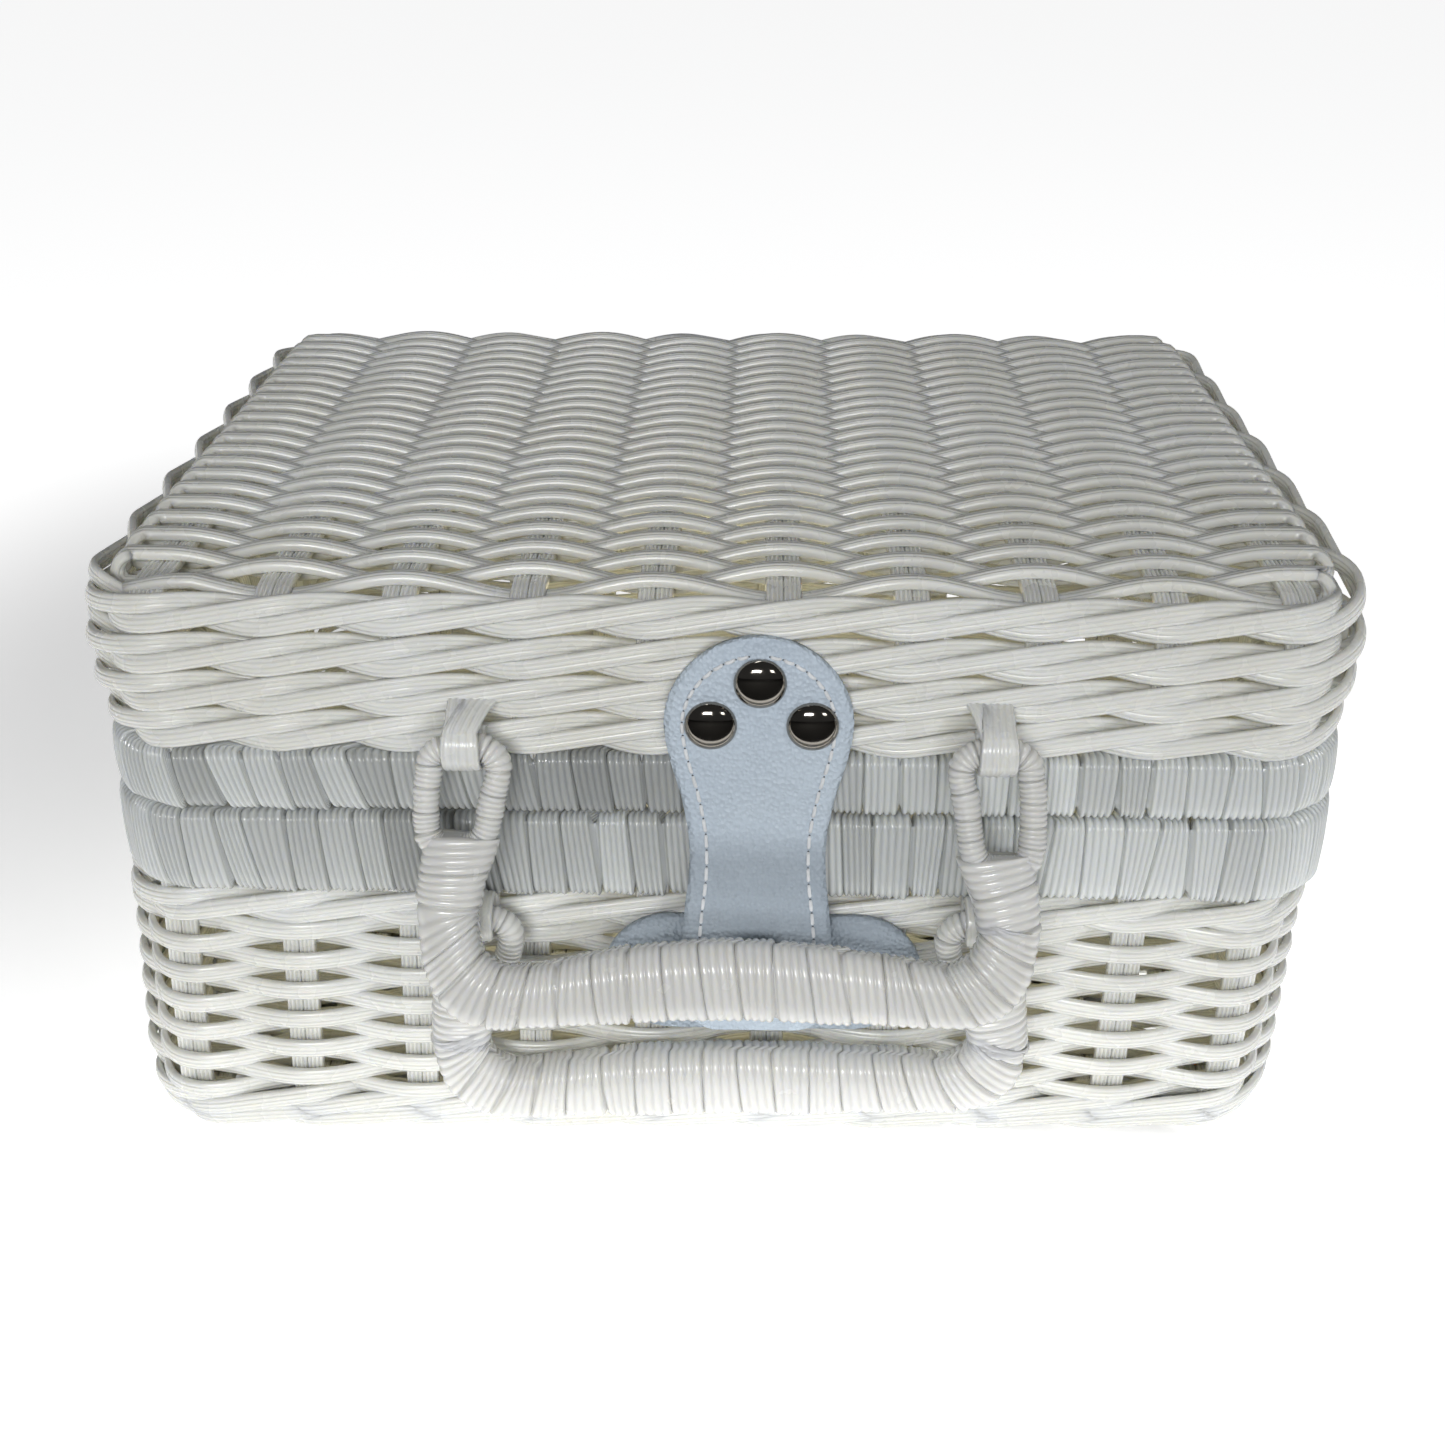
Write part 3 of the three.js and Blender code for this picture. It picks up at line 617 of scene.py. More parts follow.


# the groove shade below is painted shade, the share of the colour left in the fine grooves
PLASTICS = {  # light and dark colour, roughness, groove width and shade, darkest tone
    "ivory_cane": ((0.89, 0.90, 0.87), (0.84, 0.84, 0.79), 0.24, 0.34, 0.88, 0.93),
    "ivory_wrapping": ((0.85, 0.85, 0.83), (0.79, 0.79, 0.76), 0.20, 0.30, 0.90, 0.90),
    "cool_strip": ((0.78, 0.81, 0.80), (0.70, 0.73, 0.73), 0.18, 0.30, 0.84, 0.50),
}
CANE_PLASTIC, WRAP_PLASTIC, RIM_PLASTIC = (
    cane_material(name, *look) for name, look in PLASTICS.items()
)
LOOP_PLASTIC = cane_material("ivory_loop", *PLASTICS["ivory_cane"])
LEATHER = leather_material()
THREAD = plain_material("white_thread", (0.88, 0.9, 0.92), 0.7)
# painted shade: a near-black finish for the stitch holes, which are flat discs on the leather
PAINTED_HOLE_SHADE = plain_material("pinhole", (0.10, 0.11, 0.12), 0.9)
NICKEL = metal_material("nickel", (0.28, 0.26, 0.23), 0.09)
STEEL = metal_material("steel_wire", (0.40, 0.40, 0.41), 0.35)


# -------- shells
def lid_weave():
    stakes, wales, top = Shape(), Shape(), Shape()
    panel_z = TOP_Z - WALL_MIDDLE
    stakes_of(stakes, LID_WALL, LID_RIM_LOW[2] + 3, panel_z)
    stakes.make("lid_stakes", CANE_PLASTIC, "lid", full_lid)
    heights = np.linspace(LID_RIM_HIGH[2] + 4.6, TOP_Z - 7.2, WALE_ROUNDS)
    rise = (heights[1] - heights[0]) / 2
    for height, bulge in zip(heights, (-0.6, 0.2, 0.6, 0.0)):
        wale_round(wales, LID_WALL, height, rise, bulge)
    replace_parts(wales.make("lid_wale", CANE_PLASTIC, "lid", full_lid), "lid_side_weave")
    rows = panel_rows(-LID_WALL.half_y + 7.4, LID_WALL.half_y - 4.0, 4.6, 2.7, 7.0)
    panel_weaver(top, LID_WALL, rows, panel_z, 1)
    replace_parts(top.make("lid_top_weaver", CANE_PLASTIC, "lid"), "lid_top_weave")


def body_weave():
    stakes, plain, wales, base = Shape(), Shape(), Shape(), Shape()
    panel_z = WALL_MIDDLE + 0.2
    stakes_of(stakes, BODY_WALL, BODY_RIM_HIGH[2] - 3, panel_z)
    stakes.make("body_stakes", CANE_PLASTIC, "basket", lopsided_basket)
    top = BODY_RIM_LOW[2] - 5.0
    wale_round(wales, BODY_WALL, top, ROW_PITCH, -0.4)
    wale_round(wales, BODY_WALL, 8.2, ROW_PITCH, -0.4)
    wale_round(wales, BODY_WALL, 3.9, ROW_PITCH * 0.5, -0.6)
    wales.make("body_wale", CANE_PLASTIC, "basket", lopsided_basket)
    plain_rows(plain, BODY_WALL, top - 6.6 - np.arange(12)[::-1] * ROW_PITCH)
    piece = plain.make("body_plain_weave", CANE_PLASTIC, "basket", lopsided_basket)
    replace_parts(piece, "body_side_weave")
    reach = BODY_WALL.half_y - 1.5
    rows = panel_rows(-reach, reach, 4.5, 0.0, 1.0)
    panel_weaver(base, BODY_WALL, rows, panel_z, -1)
    piece = base.make("base_weaver", CANE_PLASTIC, "basket", lopsided_basket)
    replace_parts(piece, "body_base_weave")


# -------- wrapping
EVEN_TONES = ([0, 1], [0.7, 0.7])
WIDTH_SPREAD = 0.06  # as a share of a turn's width
LEAN_SPREAD = 0.05
TONE_SPREAD = 0.16
RIB_DEPTH = 0.42
SEAM_DEPTH = 2.0  # how deep two turns' edges go in between them


class Turns:
    """Turns of ribbed strip laid side by side along a piece, as rows of points across it.

    place is where a row lies, lean is how far it moves along for each millimetre of climb across the
    piece, and proud is how far it stands out.
    """

    def __init__(self, length, width, lean, half_climb, ribs, closed=False, gap=0.2, tones=EVEN_TONES):
        count = max(1, round(length / width))
        edges = np.arange(count + 1) * length / count
        edges[1:-1] += RANDOM.normal(0, width * WIDTH_SPREAD, count - 1)
        leans = np.interp(edges / length, *lean) + RANDOM.normal(0, LEAN_SPREAD, count + 1)
        gaps = gap * RANDOM.uniform(0.1, 1.0, count + 1) ** 2 * 2.5
        wedges = gaps * RANDOM.uniform(-1, 1, count + 1) / half_climb
        if closed:
            leans[-1], gaps[-1], wedges[-1] = leans[0], gaps[0], wedges[0]
        share = np.linspace(0, 1, ribs * 4 + 1)
        profile = -RIB_DEPTH * (1 - np.abs(np.sin(np.pi * ribs * share)))
        place, slope, proud, groove, tone = [], [], [], [], []
        for turn in range(count):
            start, end = edges[turn] + gaps[turn], edges[turn + 1] - gaps[turn + 1]
            lean_start, lean_end = leans[turn] + wedges[turn], leans[turn + 1] - wedges[turn + 1]
            lift, tilt = RANDOM.uniform(-0.15, 0.25), RANDOM.uniform(-0.1, 0.5)
            place += [[edges[turn]], start + share * (end - start)]
            slope += [[leans[turn]], lean_start + share * (lean_end - lean_start)]
            proud += [[-SEAM_DEPTH], profile + lift + tilt * (share - 0.5)]
            groove += [[0.0], share * ribs]
            light = np.interp(edges[turn] / length, *tones) + RANDOM.normal(0, TONE_SPREAD)
            tone += [np.full(len(share) + 1, min(1.0, max(0.0, light)))]
        self.place, self.lean, self.proud, self.groove, self.tone = (
            np.concatenate(rows)[:, None] for rows in (place, slope, proud, groove, tone)
        )

    def spread(self, climb):
        """Distance along of every row, for every column's climb."""
        return self.place + self.lean * climb


def rounded_box(half_out, half_up, radius, per_side=5, puff=0.0):
    """Points and outward normals of a box section with round corners."""
    points, normals = [], []
    for sign_out, sign_up, start in [(1, -1, -90), (1, 1, 0), (-1, 1, 90), (-1, -1, 180)]:
        centre = np.array([sign_out * (half_out - radius), sign_up * (half_up - radius)])
        for angle in np.radians(start + np.linspace(0, 90, 4)):
            normal = np.array([math.cos(angle), math.sin(angle)])
            points.append(centre + radius * normal)
            normals.append(normal)
        if sign_out * sign_up < 0:
            for share in np.linspace(-1, 1, per_side + 2)[1:-1] * sign_out:
                out = sign_out * (half_out + puff * (1 - share**2))
                points.append(np.array([out, share * (half_up - radius)]))
                normals.append(np.array([sign_out, 0.0]))
    return np.array(points), np.array(normals)


def wrapped_rim(name, node, body, lean, width, wider):
    """A flat band that follows the trunk's outline, in turns of strip of a width, wider at each end."""
    low, high = box_mm(node)
    half = (high - low) / 2
    outline = Outline(half[0] + wider, half[1], CORNER_RADIUS)
    section, facing = rounded_box(RIM_THICKNESS / 2, half[2], 3.0, puff=0.3)
    leaning = ([0, 0.44, 0.54, 0.66, 1], [lean, lean, 0, 0, lean])
    # painted shade and light: on top of a tone that varies at random from turn to turn, the strip is
    # darker along the front left, darkest at the front's middle, and lighter just to the right of it
    tones = ([0, 0.36, 0.40, 0.50, 0.54, 0.60, 1], [0.7, 0.7, 0.45, 0.2, 0.8, 0.9, 0.7])
    turns = Turns(outline.length, width, leaning, half[2], 5, closed=True, gap=0.3, tones=tones)
    outside = np.where(section[:, 0] > 0, 1.0, -1.0)
    place = turns.spread(section[:, 1] * outside)
    near_edge = 1 + 0.9 * np.abs(section[:, 1] / half[2]) ** 4
    proud = turns.proud * near_edge
    out = section[:, 0] - RIM_THICKNESS / 2 - 0.3 + proud * facing[:, 0]
    height = (low[2] + high[2]) / 2 + section[:, 1] + proud * facing[:, 1]
    plan, _ = outline.outside(place.ravel(), out.ravel())
    points = np.concatenate([plan.reshape(*place.shape, 2), height[..., None]], axis=2)
    shape = Shape()
    shape.grid(points, turns.groove, closed_rows=True, tone=turns.tone)
    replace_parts(shape.make(name, RIM_PLASTIC, body), node)


# -------- handles
class FrontPlane:
    """A plane on the trunk's front: x to the right, y up the plane, z out of it."""

    def __init__(self, origin, lean):
        self.origin = np.array(origin)
        angle = math.radians(lean)
        self.axes = np.array(
            [[1, 0, 0], [0, math.sin(angle), math.cos(angle)], [0, -math.cos(angle), math.sin(angle)]]
        )

    def place(self, points):
        return self.origin + np.asarray(points) @ self.axes


def grip_side(half_width, length, top, drop):
    """Stations down one arm and half of the bar: outer x, y, inner x, y, half thickness."""
    outer, foot = half_width, -length
    return [
        (outer - 2.0, top + 1.0, outer - 20.5, top - 0.5, 4.4),
        (outer - 1.6, top - 4, outer - 19.0, top - 5, 5.4),
        (outer - 0.8, top - 10, outer - 16.6, top - 11, 6.0),
        (outer - 0.2, top - 16, outer - 15.2, top - 18, 6.2),
        (outer - 0.4, foot + 22, outer - 14.7, foot + 27, 6.3),
        (outer - 2.6, foot + 10 - drop * 0.5, outer - 15.4, foot + 20.5 - drop, 6.4),
        (outer - 8.0, foot + 2.8 - drop, outer - 18.4, foot + 16.6 - drop, 6.5),
        (outer - 16.0, foot - drop, outer - 23.0, foot + 15.2 - drop, 6.6),
        (outer - 27.0, foot - drop, outer - 30.0, foot + 16.2 - drop, 6.8),
        (24.0, foot + 0.4 - drop * 0.4, 24.0, foot + 18.9 - drop * 0.3, 7.0),
    ]


def grip_track(half_width, length, tops, drops):
    """The grip's middle line, half of its width as a vector, and half its thickness."""
    left = grip_side(half_width, length, tops[0], drops[0])
    right = grip_side(half_width, length, tops[1], drops[1])
    stations = [(-ox, oy, -ix, iy, depth) for ox, oy, ix, iy, depth in left]
    stations += [(0, -length + 0.8, 0, -length + 20.4, 7.1)]
    edges = spline(stations + right[::-1])
    outer, inner, depth = edges[:, 0:2], edges[:, 2:4], edges[:, 4:5]
    return Track(np.concatenate([(outer + inner) / 2, (inner - outer) / 2, depth], axis=1), 2)


def wrapped_grip(name, node, body, plane, track):
    across, out = round_points(30, 2.4)
    half_width = 8.5
    turns = Turns(track.length, 8.7, ([0, 1], [-0.10, -0.10]), half_width, 4)
    row = track.at(turns.spread(across * half_width * np.where(out > 0, 1.0, -1.0)))
    centre, half, depth = row[..., 0:2], row[..., 2:4], row[..., 4]
    size = np.linalg.norm(half, axis=-1)
    in_plane = centre + half * (across * (1 + turns.proud / size))[..., None]
    points = np.concatenate([in_plane, (out * (depth + turns.proud))[..., None]], axis=2)
    shape = Shape()
    shape.grid(plane.place(points), turns.groove, capped=True, tone=turns.tone)
    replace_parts(shape.make(name, WRAP_PLASTIC, body), node, node.replace("grip_wrap", "core_wire"))


def wrapped_eye(name, node, body, plane, side, middle, foot):
    """A bent ring wrapped in strip, round at the top and drawn in towards the grip."""
    half_top, half_foot, radius, drawn = 8.0, 6.2, 3.2, side * 2.0
    loop = [
        (middle - half_top + 3.4, -0.9), (middle, -0.4), (middle + half_top - 3.4, -0.9),
        (middle + half_top - 0.5, -3.2), (middle + half_top, -6.5),
        (middle + drawn / 2 + half_top - 0.3, -12),
        (middle + drawn + half_foot, foot + 1), (middle + drawn, foot - 1.5),
        (middle + drawn - half_foot, foot + 1), (middle + drawn / 2 - half_top + 0.3, -12),
        (middle - half_top, -6.5), (middle - half_top + 0.5, -3.2),
    ]
    line = spline(loop, closed=True)
    tangent = tangents(line[:-1], closed=True)
    track = Track(np.column_stack([line, np.concatenate([tangent, tangent[:1]])]), 2)
    across, out = round_points(14)
    turns = Turns(track.length, 5.4, ([0, 1], [0, 0]), radius, 4, closed=True, gap=0.08)
    row = track.at(turns.spread(0 * across))
    outward = np.stack([-row[..., 3], row[..., 2]], axis=-1)
    reach = radius + turns.proud * 0.7
    in_plane = row[..., 0:2] + outward * (reach * across)[..., None]
    points = np.concatenate([in_plane, (reach * out)[..., None]], axis=2)
    shape = Shape()
    shape.grid(plane.place(points), turns.groove, closed_rows=True)
    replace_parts(shape.make(name, WRAP_PLASTIC, body), node)


def strip_loop(name, node, body, x, pivot, wall_y, up, strands):
    """Turns of strip that come out of the wall, pass round a handle's eye and go back in.

    strands are (radius, slide at the wall, slide under the eye, section).
    """
    shape = Shape()
    for radius, top_x, foot_x, section in strands:
        angles = np.radians(np.linspace(26, 290, 14))
        ring = [(-radius * math.sin(angle), radius * math.cos(angle)) for angle in angles]
        gap = wall_y - pivot[1]
        route = spline([(gap + 3.4, 9.0), (gap - 1.0, 7.6)] + ring + [(gap + 3.0, -1.5)], per_span=4)
        share = np.linspace(0, 1, len(route))
        widths = 0.82 + 0.18 * eased(share / 0.3)
        slide = top_x + (foot_x - top_x) * eased(share / 0.14)
        path = np.insert(pivot[1:] + route * [1, up], 0, x + slide, axis=1)
        normal = np.insert(-left_normals(route) * [1, up], 0, 0, axis=1)
        shape.grid(swept(path, normal, section, widths=widths), section.groove, capped=True)
    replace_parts(shape.make(name, LOOP_PLASTIC, body), node)


EYE_X = 61.2
LOOP_STRANDS = {
    "left": [(4.7, -2.0, -1.8, NARROW_STRIP), (5.7, 4.6, 0.0, LOOP_STRIP)],
    "right": [(4.7, -5.6, -1.8, NARROW_STRIP), (5.7, 0.4, 0.0, LOOP_STRIP)],
}


def add_handle(name, body, holder, lean, wall_y, up, half_width, length, tops, drops):
    """A handle that leans out by lean degrees, with its loops going up (1) or down (-1) into the wall.

    tops are where its left and right arm begin beneath the eyes, and drops how far each end of its bar
    sags.
    """
    pivot = joint_place(f"{name}_swing")
    plane = FrontPlane(pivot, lean)
    track = grip_track(half_width, length, tops, drops)
    wrapped_grip(f"{name}_wrapped_grip", f"{name}_grip_wrap", body, plane, track)
    for word, side, top in (("left", -1, tops[0]), ("right", 1, tops[1])):
        eye = f"{name}_wrapped_eye_{word}"
        wrapped_eye(eye, f"{name}_eye_{word}", body, plane, side, side * EYE_X, top - 1.5)
        x = pivot[0] + side * EYE_X
        strip = f"{name}_strip_loop_{word}"
        strip_loop(strip, f"{name}_loop_{word}", holder, x, pivot, wall_y, up, LOOP_STRANDS[word])


# -------- strap
STRAP_X = joint_place("strap_bend")[0]
LOBE_RADIUS = 22.0
LOBE_Z = box_mm("strap_upper")[1][2] - LOBE_RADIUS
STRAP_TIP = box_mm("strap_flap")[0][2]
TIP_RADIUS = 8.0
STRAP_THICKNESS = 1.9
STRAP_WIDTHS = [  # height and half width
    (STRAP_TIP, 18.2), (66, 18.2), (76, 17.3), (82, 16.5), (88.4, 16.2), (95, 16.6), (104, 18.2),
    (113, 20.6), (118, 21.6), (LOBE_Z, LOBE_RADIUS),
]
STRAP_FACE = [  # height and the y of the leather's front face
    (38, -120.2), (55, -120.0), (70, -119.6), (78, -119.0), (84, -117.8), (90, -116.4), (95, -115.5),
    (104, -115.2), (112, -115.1), (120, -115.2), (130, -115.3), (138, -114.9), (146, -113.6),
]


def strap_face(z):
    """The y of the strap's front face at a height."""
    table = spline(STRAP_FACE)
    return np.interp(z, table[:, 0], table[:, 1])


def strap_rows():
    """Heights and half widths of the strap's rows, from its tip up."""
    low = np.linspace(STRAP_TIP + TIP_RADIUS, LOBE_Z, 90)
    tip = np.radians(np.linspace(4, 90, 10, endpoint=False))
    lobe = np.radians(np.linspace(0, 88.5, 34)[1:])
    widths = np.array(STRAP_WIDTHS)
    tip_half = STRAP_WIDTHS[0][1] - TIP_RADIUS + TIP_RADIUS * np.sin(tip)
    tip_z = STRAP_TIP + TIP_RADIUS - TIP_RADIUS * np.cos(tip)
    heights = np.concatenate([tip_z, low, LOBE_Z + LOBE_RADIUS * np.sin(lobe)])
    middle_half = np.interp(low, widths[:, 0], widths[:, 1])
    return heights, np.concatenate([tip_half, middle_half, LOBE_RADIUS * np.cos(lobe)])


def add_strap():
    heights, halves = strap_rows()
    edge = 0.8  # radius of the leather's rounded edge
    share = np.linspace(-1, 1, 33)
    rows = []
    for z, half in zip(heights, halves):
        x = share * half
        face = strap_face(z)
        from_edge = np.minimum(1, (half - np.abs(x)) / edge)
        front = face + edge * (1 - np.sqrt(from_edge * (2 - from_edge)))
        across = np.concatenate([x, x[::-1]])
        depth = np.concatenate([front, np.full(len(x), face + STRAP_THICKNESS)])
        rows.append(np.column_stack([STRAP_X + across, depth, np.full(len(across), z)]))
    shape = Shape()
    shape.grid(np.array(rows), capped=True)
    strap = shape.make("leather_strap", LEATHER, None)
    hinge = joint_place("strap_bend")
    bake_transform(strap)
    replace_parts(strap, "strap_upper", "strap_flap")
    add_stitching(heights, halves, hinge[2])


STITCH_PITCH = 3.8
STITCH_INSET = 4.2


def add_stitching(heights, halves, hinge_z):
    """Thread in dashes, set in from the edge of the strap, with a pinhole between them: a flat dark disc
    of painted shade.
    """
    side = np.column_stack([halves, heights])
    track = Track(side[side[:, 1] > STRAP_TIP + TIP_RADIUS], 2)
    places = np.arange(STITCH_PITCH, track.length - 1, STITCH_PITCH)
    near, far = track.at(places - 0.5), track.at(places + 0.5)
    inward = left_normals(np.stack([near, far], axis=1).reshape(-1, 2))[::2]
    inner = track.at(places) + STITCH_INSET * inward
    shapes = {(word, body): Shape() for word in ("thread", "hole") for body in ("lid", "strap")}
    for side in (-1, 1):
        spots = inner * [side, 1]
        for start, end in zip(spots, spots[1:]):
            body = "lid" if (start[1] + end[1]) / 2 > hinge_z else "strap"
            add_stitch(shapes["thread", body], start, end)
            add_pinhole(shapes["hole", body], start + 0.9 * (end - start))
    for body in ("lid", "strap"):
        shapes["thread", body].make(f"stitching_{body}", THREAD, body)
        shapes["hole", body].make(f"painted_stitch_hole_shade_{body}", PAINTED_HOLE_SHADE, body)


def add_stitch(shape, start, end):
    share = np.linspace(0, 1, 7)
    line = start + (0.06 + 0.76 * share[:, None]) * (end - start)
    stand = -0.3 + 0.62 * np.sin(np.pi * share) ** 0.5
    path = np.column_stack([STRAP_X + line[:, 0], strap_face(line[:, 1]) - stand, line[:, 1]])
    shape.grid(swept(path, np.tile([0, -1.0, 0], (7, 1)), oval(0.9, 0.7, 0, 8, 2.0)), capped=True)


def front_ring(count):
    """A circle of radius 1 that faces the front."""
    across, up = round_points(count)
    return np.column_stack([across, 0 * across, up])


def add_pinhole(shape, spot, radius=0.25):
    # a flat disc on the leather's face, painted dark for the shade in a stitch hole
    ring = radius * front_ring(8)
    centre = np.array([STRAP_X + spot[0], strap_face(spot[1]) - 0.03, spot[1]])
    shape.grid(np.array([centre + ring, centre + 0.01 * ring]))


# -------- turned metal and the patch
def dome(radius, height, lip=0.5):
    """The profile of a domed head as radius and height, from its edge to its crown."""
    angles = np.radians(np.linspace(0, 89.5, 16))
    crown = [(radius * math.cos(angle), lip + (height - lip) * math.sin(angle)) for angle in angles]
    return [(radius - 0.35, 0.0), (radius, lip * 0.5)] + crown


def add_metal():
    """The domed heads, turned round an axis that points out of the trunk's front."""
    heads = [(f"rivet_{word}", f"strap_rivet_{word}", "lid", 3.5) for word in ("top", "left", "right")]
    heads.append(("stud_cap", "press_stud_cap", "strap", 2.6))
    for name, node, body, height in heads:
        low, high = box_mm(node)
        centre = (low + high) / 2
        centre[1] = strap_face(centre[2]) + 0.2
        profile = dome((high[0] - low[0]) / 2, height)
        rows = [centre + radius * front_ring(48) - [0, out, 0] for radius, out in profile]
        shape = Shape()
        shape.grid(np.array(rows), capped=True)
        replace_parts(shape.make(name, NICKEL, body), node)


def add_patch():
    """The leather patch on the basket."""
    low, high = box_mm("stud_patch")
    centre, half = (low + high) / 2, (high - low) / 2
    across, up = round_points(96)
    x = half[2] * across + np.sign(across) * (half[0] - half[2])
    z = half[2] * up
    profile = [
        (1, high[1]), (1, low[1] + 0.6), (0.985, low[1] + 0.15), (0.96, low[1]), (0.5, low[1]),
        (0.01, low[1]),
    ]
    rows = [
        np.column_stack([centre[0] + share * x, np.full(len(x), y), centre[2] + share * z])
        for share, y in profile
    ]
    shape = Shape()
    shape.grid(np.array(rows), capped=True)
    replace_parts(shape.make("leather_patch", LEATHER, "basket"), "stud_patch")


# -------- hinge bindings
def add_hinges(turns=3):
    """At the back, turns of strip on each side tie the two rims together."""
    for word in ("left", "right"):
        low, _ = box_mm(f"hinge_binding_{word}_lower")
        _, high = box_mm(f"hinge_binding_{word}_upper")
        shape = Shape()
        for number in range(turns):
            x = low[0] + (high[0] - low[0]) * (number + 0.5) / turns
            route = [
                (low[1] - 3.0, low[2] + 0.5), (low[1] + 0.3, low[2] + 0.4), (high[1] - 0.7, low[2] + 3),
                (high[1] - 0.75, SEAM_Z - 5), (high[1] - 0.75, SEAM_Z + 5), (high[1] - 0.7, high[2] - 3),
                (low[1] + 0.3, high[2] - 0.4), (low[1] - 3.0, high[2] - 0.5),
            ]
            line = spline(route, per_span=6)
            path = np.insert(line, 0, x + wobble(len(line), 0.1), axis=1)
            normal = np.insert(-left_normals(line), 0, 0, axis=1)
            shape.grid(swept(path, normal, HINGE_STRIP), HINGE_STRIP.groove, capped=True)
        piece = shape.make(f"hinge_strip_{word}", RIM_PLASTIC, None)
        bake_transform(piece)
        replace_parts(piece, f"hinge_binding_{word}_lower", f"hinge_binding_{word}_upper")


def paint_frame_nodes():
    """The CAD nodes that stay get a metal that suits them."""
    finishes = {"_wire": STEEL, "washer": NICKEL, "patch_rivet": NICKEL, "socket": NICKEL}
    for name, node in frame["nodes"].items():
        for word, finish in finishes.items():
            if word in name:
                node.data.materials.clear()
                node.data.materials.append(finish)


# -------- stage
def floor_glow(finish, strength, shaded):
    """The floor's brightness, with painted shadow: dark beneath the trunk and just behind it, and a soft
    painted shadow on its left.

    shaded is the share of the brightness that is left in the middle of the soft shade.
    """
    place = finish.place()
    # painted shadow: the glow is turned off beneath the trunk and just behind it
    from_middle = finish.maths("SUBTRACT", place, (-0.008, 0.045, 0.0), kind="VectorMath")
    away = finish.maths("ABSOLUTE", from_middle, kind="VectorMath")
    outside_x = finish.map_range(finish.part(away, "X"), 0.12, 0.14, smooth=True)
    outside_y = finish.map_range(finish.part(away, "Y"), 0.135, 0.175, smooth=True)
    outside = finish.maths("MAXIMUM", outside_x, outside_y)
    # a soft painted shadow on the floor to the trunk's left
    from_shade = finish.maths("SUBTRACT", place, (-0.22, 0.16, 0.0), kind="VectorMath")
    stretched = finish.maths("MULTIPLY", from_shade, (5.0, 3.2, 0.0), kind="VectorMath")
    distance = finish.maths("LENGTH", stretched, kind="VectorMath", output="Value")
    light = finish.map_range(distance, 0.2, 1.2, shaded * strength, strength, smooth=True)
    return finish.maths("MULTIPLY", outside, light)


def add_floor():
    bpy.ops.mesh.primitive_plane_add(size=14, location=(0, 0, 0))
    floor = bpy.context.object
    floor.name = "floor"
    finish = Finish("pale_floor")
    floor.data.materials.append(finish.shaded({
        "Base Color": (0.86, 0.86, 0.86, 1),
        "Roughness": 0.9,
        "Specular IOR Level": 0.1,
        "Emission Color": (1, 1, 1, 1),
        "Emission Strength": floor_glow(finish, 0.87, 0.5),
    }))


def add_flag():
    """A dark card on the floor in front, which the camera doesn't see, keeps light off the front."""
    bpy.ops.mesh.primitive_plane_add(size=1, location=(0, -3.70, 0.001))
    flag = bpy.context.object
    flag.name = "flag"
    flag.scale = (14.0, 7.0, 1)
    flag.visible_camera = False
    flag.visible_shadow = False
    flag.data.materials.append(plain_material("black_card", (0.03, 0.03, 0.03), 0.9))


def add_backdrop():
    """A pale studio wall all round, seen only by the camera."""
    bpy.ops.mesh.primitive_uv_sphere_add(radius=12, segments=48, ring_count=24)
    wall = bpy.context.object
    wall.name = "backdrop"
    wall.visible_diffuse = wall.visible_glossy = wall.visible_transmission = wall.visible_shadow = False
    wall.data.materials.append(Finish("pale_wall").shaded({
        "Base Color": (0.1, 0.1, 0.1, 1),
        "Emission Color": (1, 1, 1, 1),
        "Emission Strength": 0.9,
    }))


def add_lamp(name, kind, place, power, **settings):
    data = bpy.data.lights.new(name, kind)
    data.energy = power
    for word, value in settings.items():
        setattr(data, word, value)
    lamp = bpy.data.objects.new(name, data)
    lamp.location = place
    bpy.context.scene.collection.objects.link(lamp)
    return lamp


def add_inner_light():
    """A faint warm glow inside, for the daylight that real cane lets through."""
    middle = (0, 0, SEAM_Z * METRES)
    glow = add_lamp("inner_glow", "POINT", middle, 0.13, shadow_soft_size=0.05, color=(1.0, 0.88, 0.56))
    glow.visible_camera = False


def add_light(name, place, size, power, mirrored=True):
    """A softbox that faces the trunk, and that shows in its shiny parts if mirrored."""
    light = add_lamp(name, "AREA", place, power, shape="RECTANGLE", size=size[0], size_y=size[1])
    light.visible_glossy = mirrored
    aim = Vector((0, 0, 0.08)) - Vector(place)
    light.rotation_euler = aim.to_track_quat("-Z", "Y").to_euler()


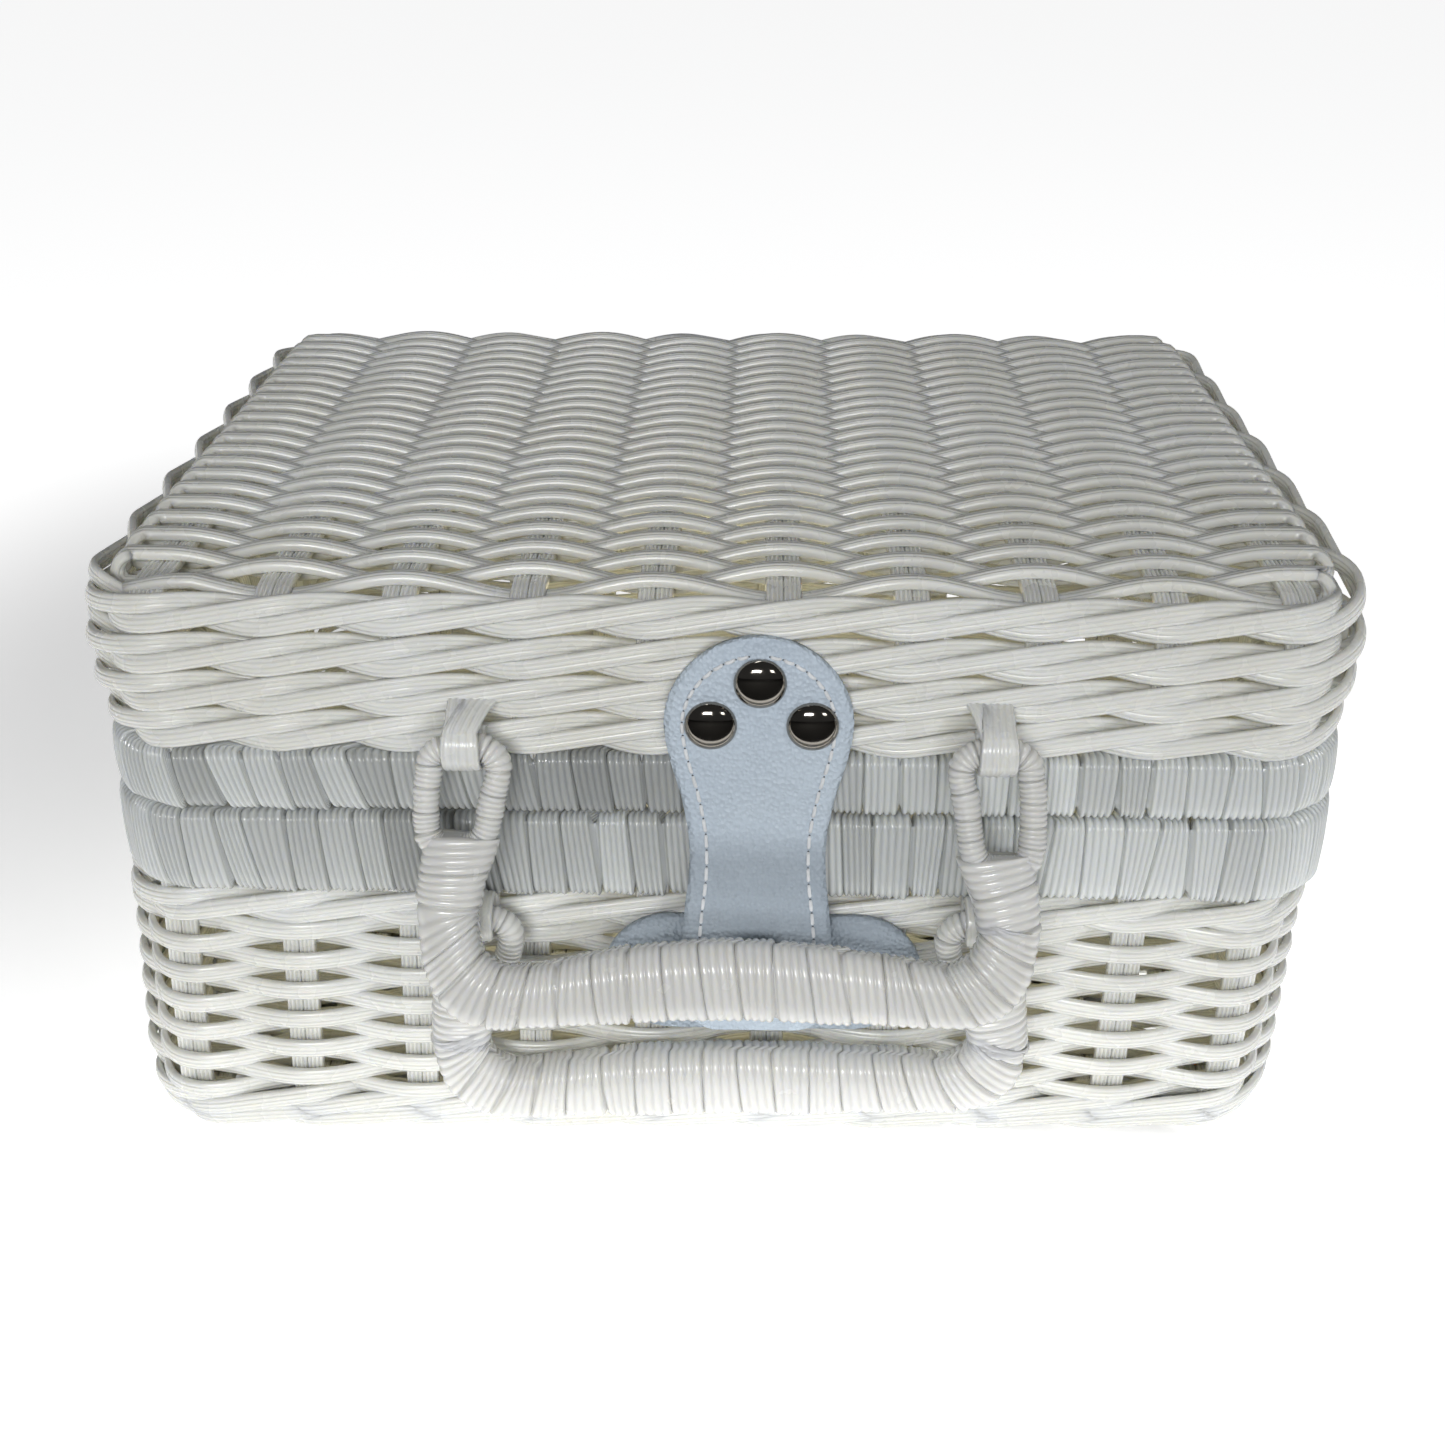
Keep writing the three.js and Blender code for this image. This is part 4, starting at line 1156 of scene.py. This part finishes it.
def add_stage():
    add_floor()
    add_flag()
    add_backdrop()
    world = bpy.data.worlds.new("studio")
    world.use_nodes = True
    background = world.node_tree.nodes["Background"]
    background.inputs["Color"].default_value = (0.95, 0.97, 1, 1)
    background.inputs["Strength"].default_value = 0.06
    bpy.context.scene.world = world
    add_light("key_softbox", (-0.2, -1.15, 0.62), (0.5, 0.16), 4.9)
    add_light("front_softbox", (0.3, -2.4, 0.45), (1.8, 0.8), 18, mirrored=False)
    add_light("top_strip", (-0.15, 0.15, 1.30), (0.5, 0.10), 1.15)
    add_inner_light()
    add_light("window", (0.8, -1.0, 0.7), (0.3, 0.2), 1.4)
    bpy.context.scene.view_settings.view_transform = "Standard"


CAMERA_PLACE = (0.0090, -0.4734, 0.3117)
CAMERA_BELOW_LEVEL = 27.67  # degrees that it looks down
CAMERA_TO_LEFT = 1.29  # degrees that it is turned


def add_camera():
    data = bpy.data.cameras.new("camera")
    data.sensor_width, data.lens = 36, 43.8
    data.clip_start, data.clip_end = 0.01, 50
    camera = bpy.data.objects.new("camera", data)
    camera.location = CAMERA_PLACE
    tilt, turn = math.radians(90 - CAMERA_BELOW_LEVEL), math.radians(CAMERA_TO_LEFT)
    camera.rotation_euler = Euler((tilt, 0, turn))
    bpy.context.scene.collection.objects.link(camera)
    bpy.context.scene.camera = camera


add_camera()
add_stage()
lid_weave()
body_weave()
wrapped_rim("lid_wrapped_rim", "lid_rim_wrap", "lid", lean=-0.20, width=8.6, wider=0.7)
wrapped_rim("body_wrapped_rim", "body_rim_wrap", "basket", lean=-0.09, width=8.4, wider=1.3)
add_handle(
    "lid_handle", "lid_handle", "lid", lean=17.4, wall_y=-LID_HIGH[1], up=1,
    half_width=73, length=66, tops=(-21.5, -25), drops=(1.9, 0.2),
)
add_handle(
    "body_handle", "body_handle", "basket", lean=3.0, wall_y=-BODY_HIGH[1], up=-1,
    half_width=75, length=57, tops=(-19, -19), drops=(0.8, -2.6),
)
add_strap()
add_metal()
add_patch()
add_hinges()
paint_frame_nodes()
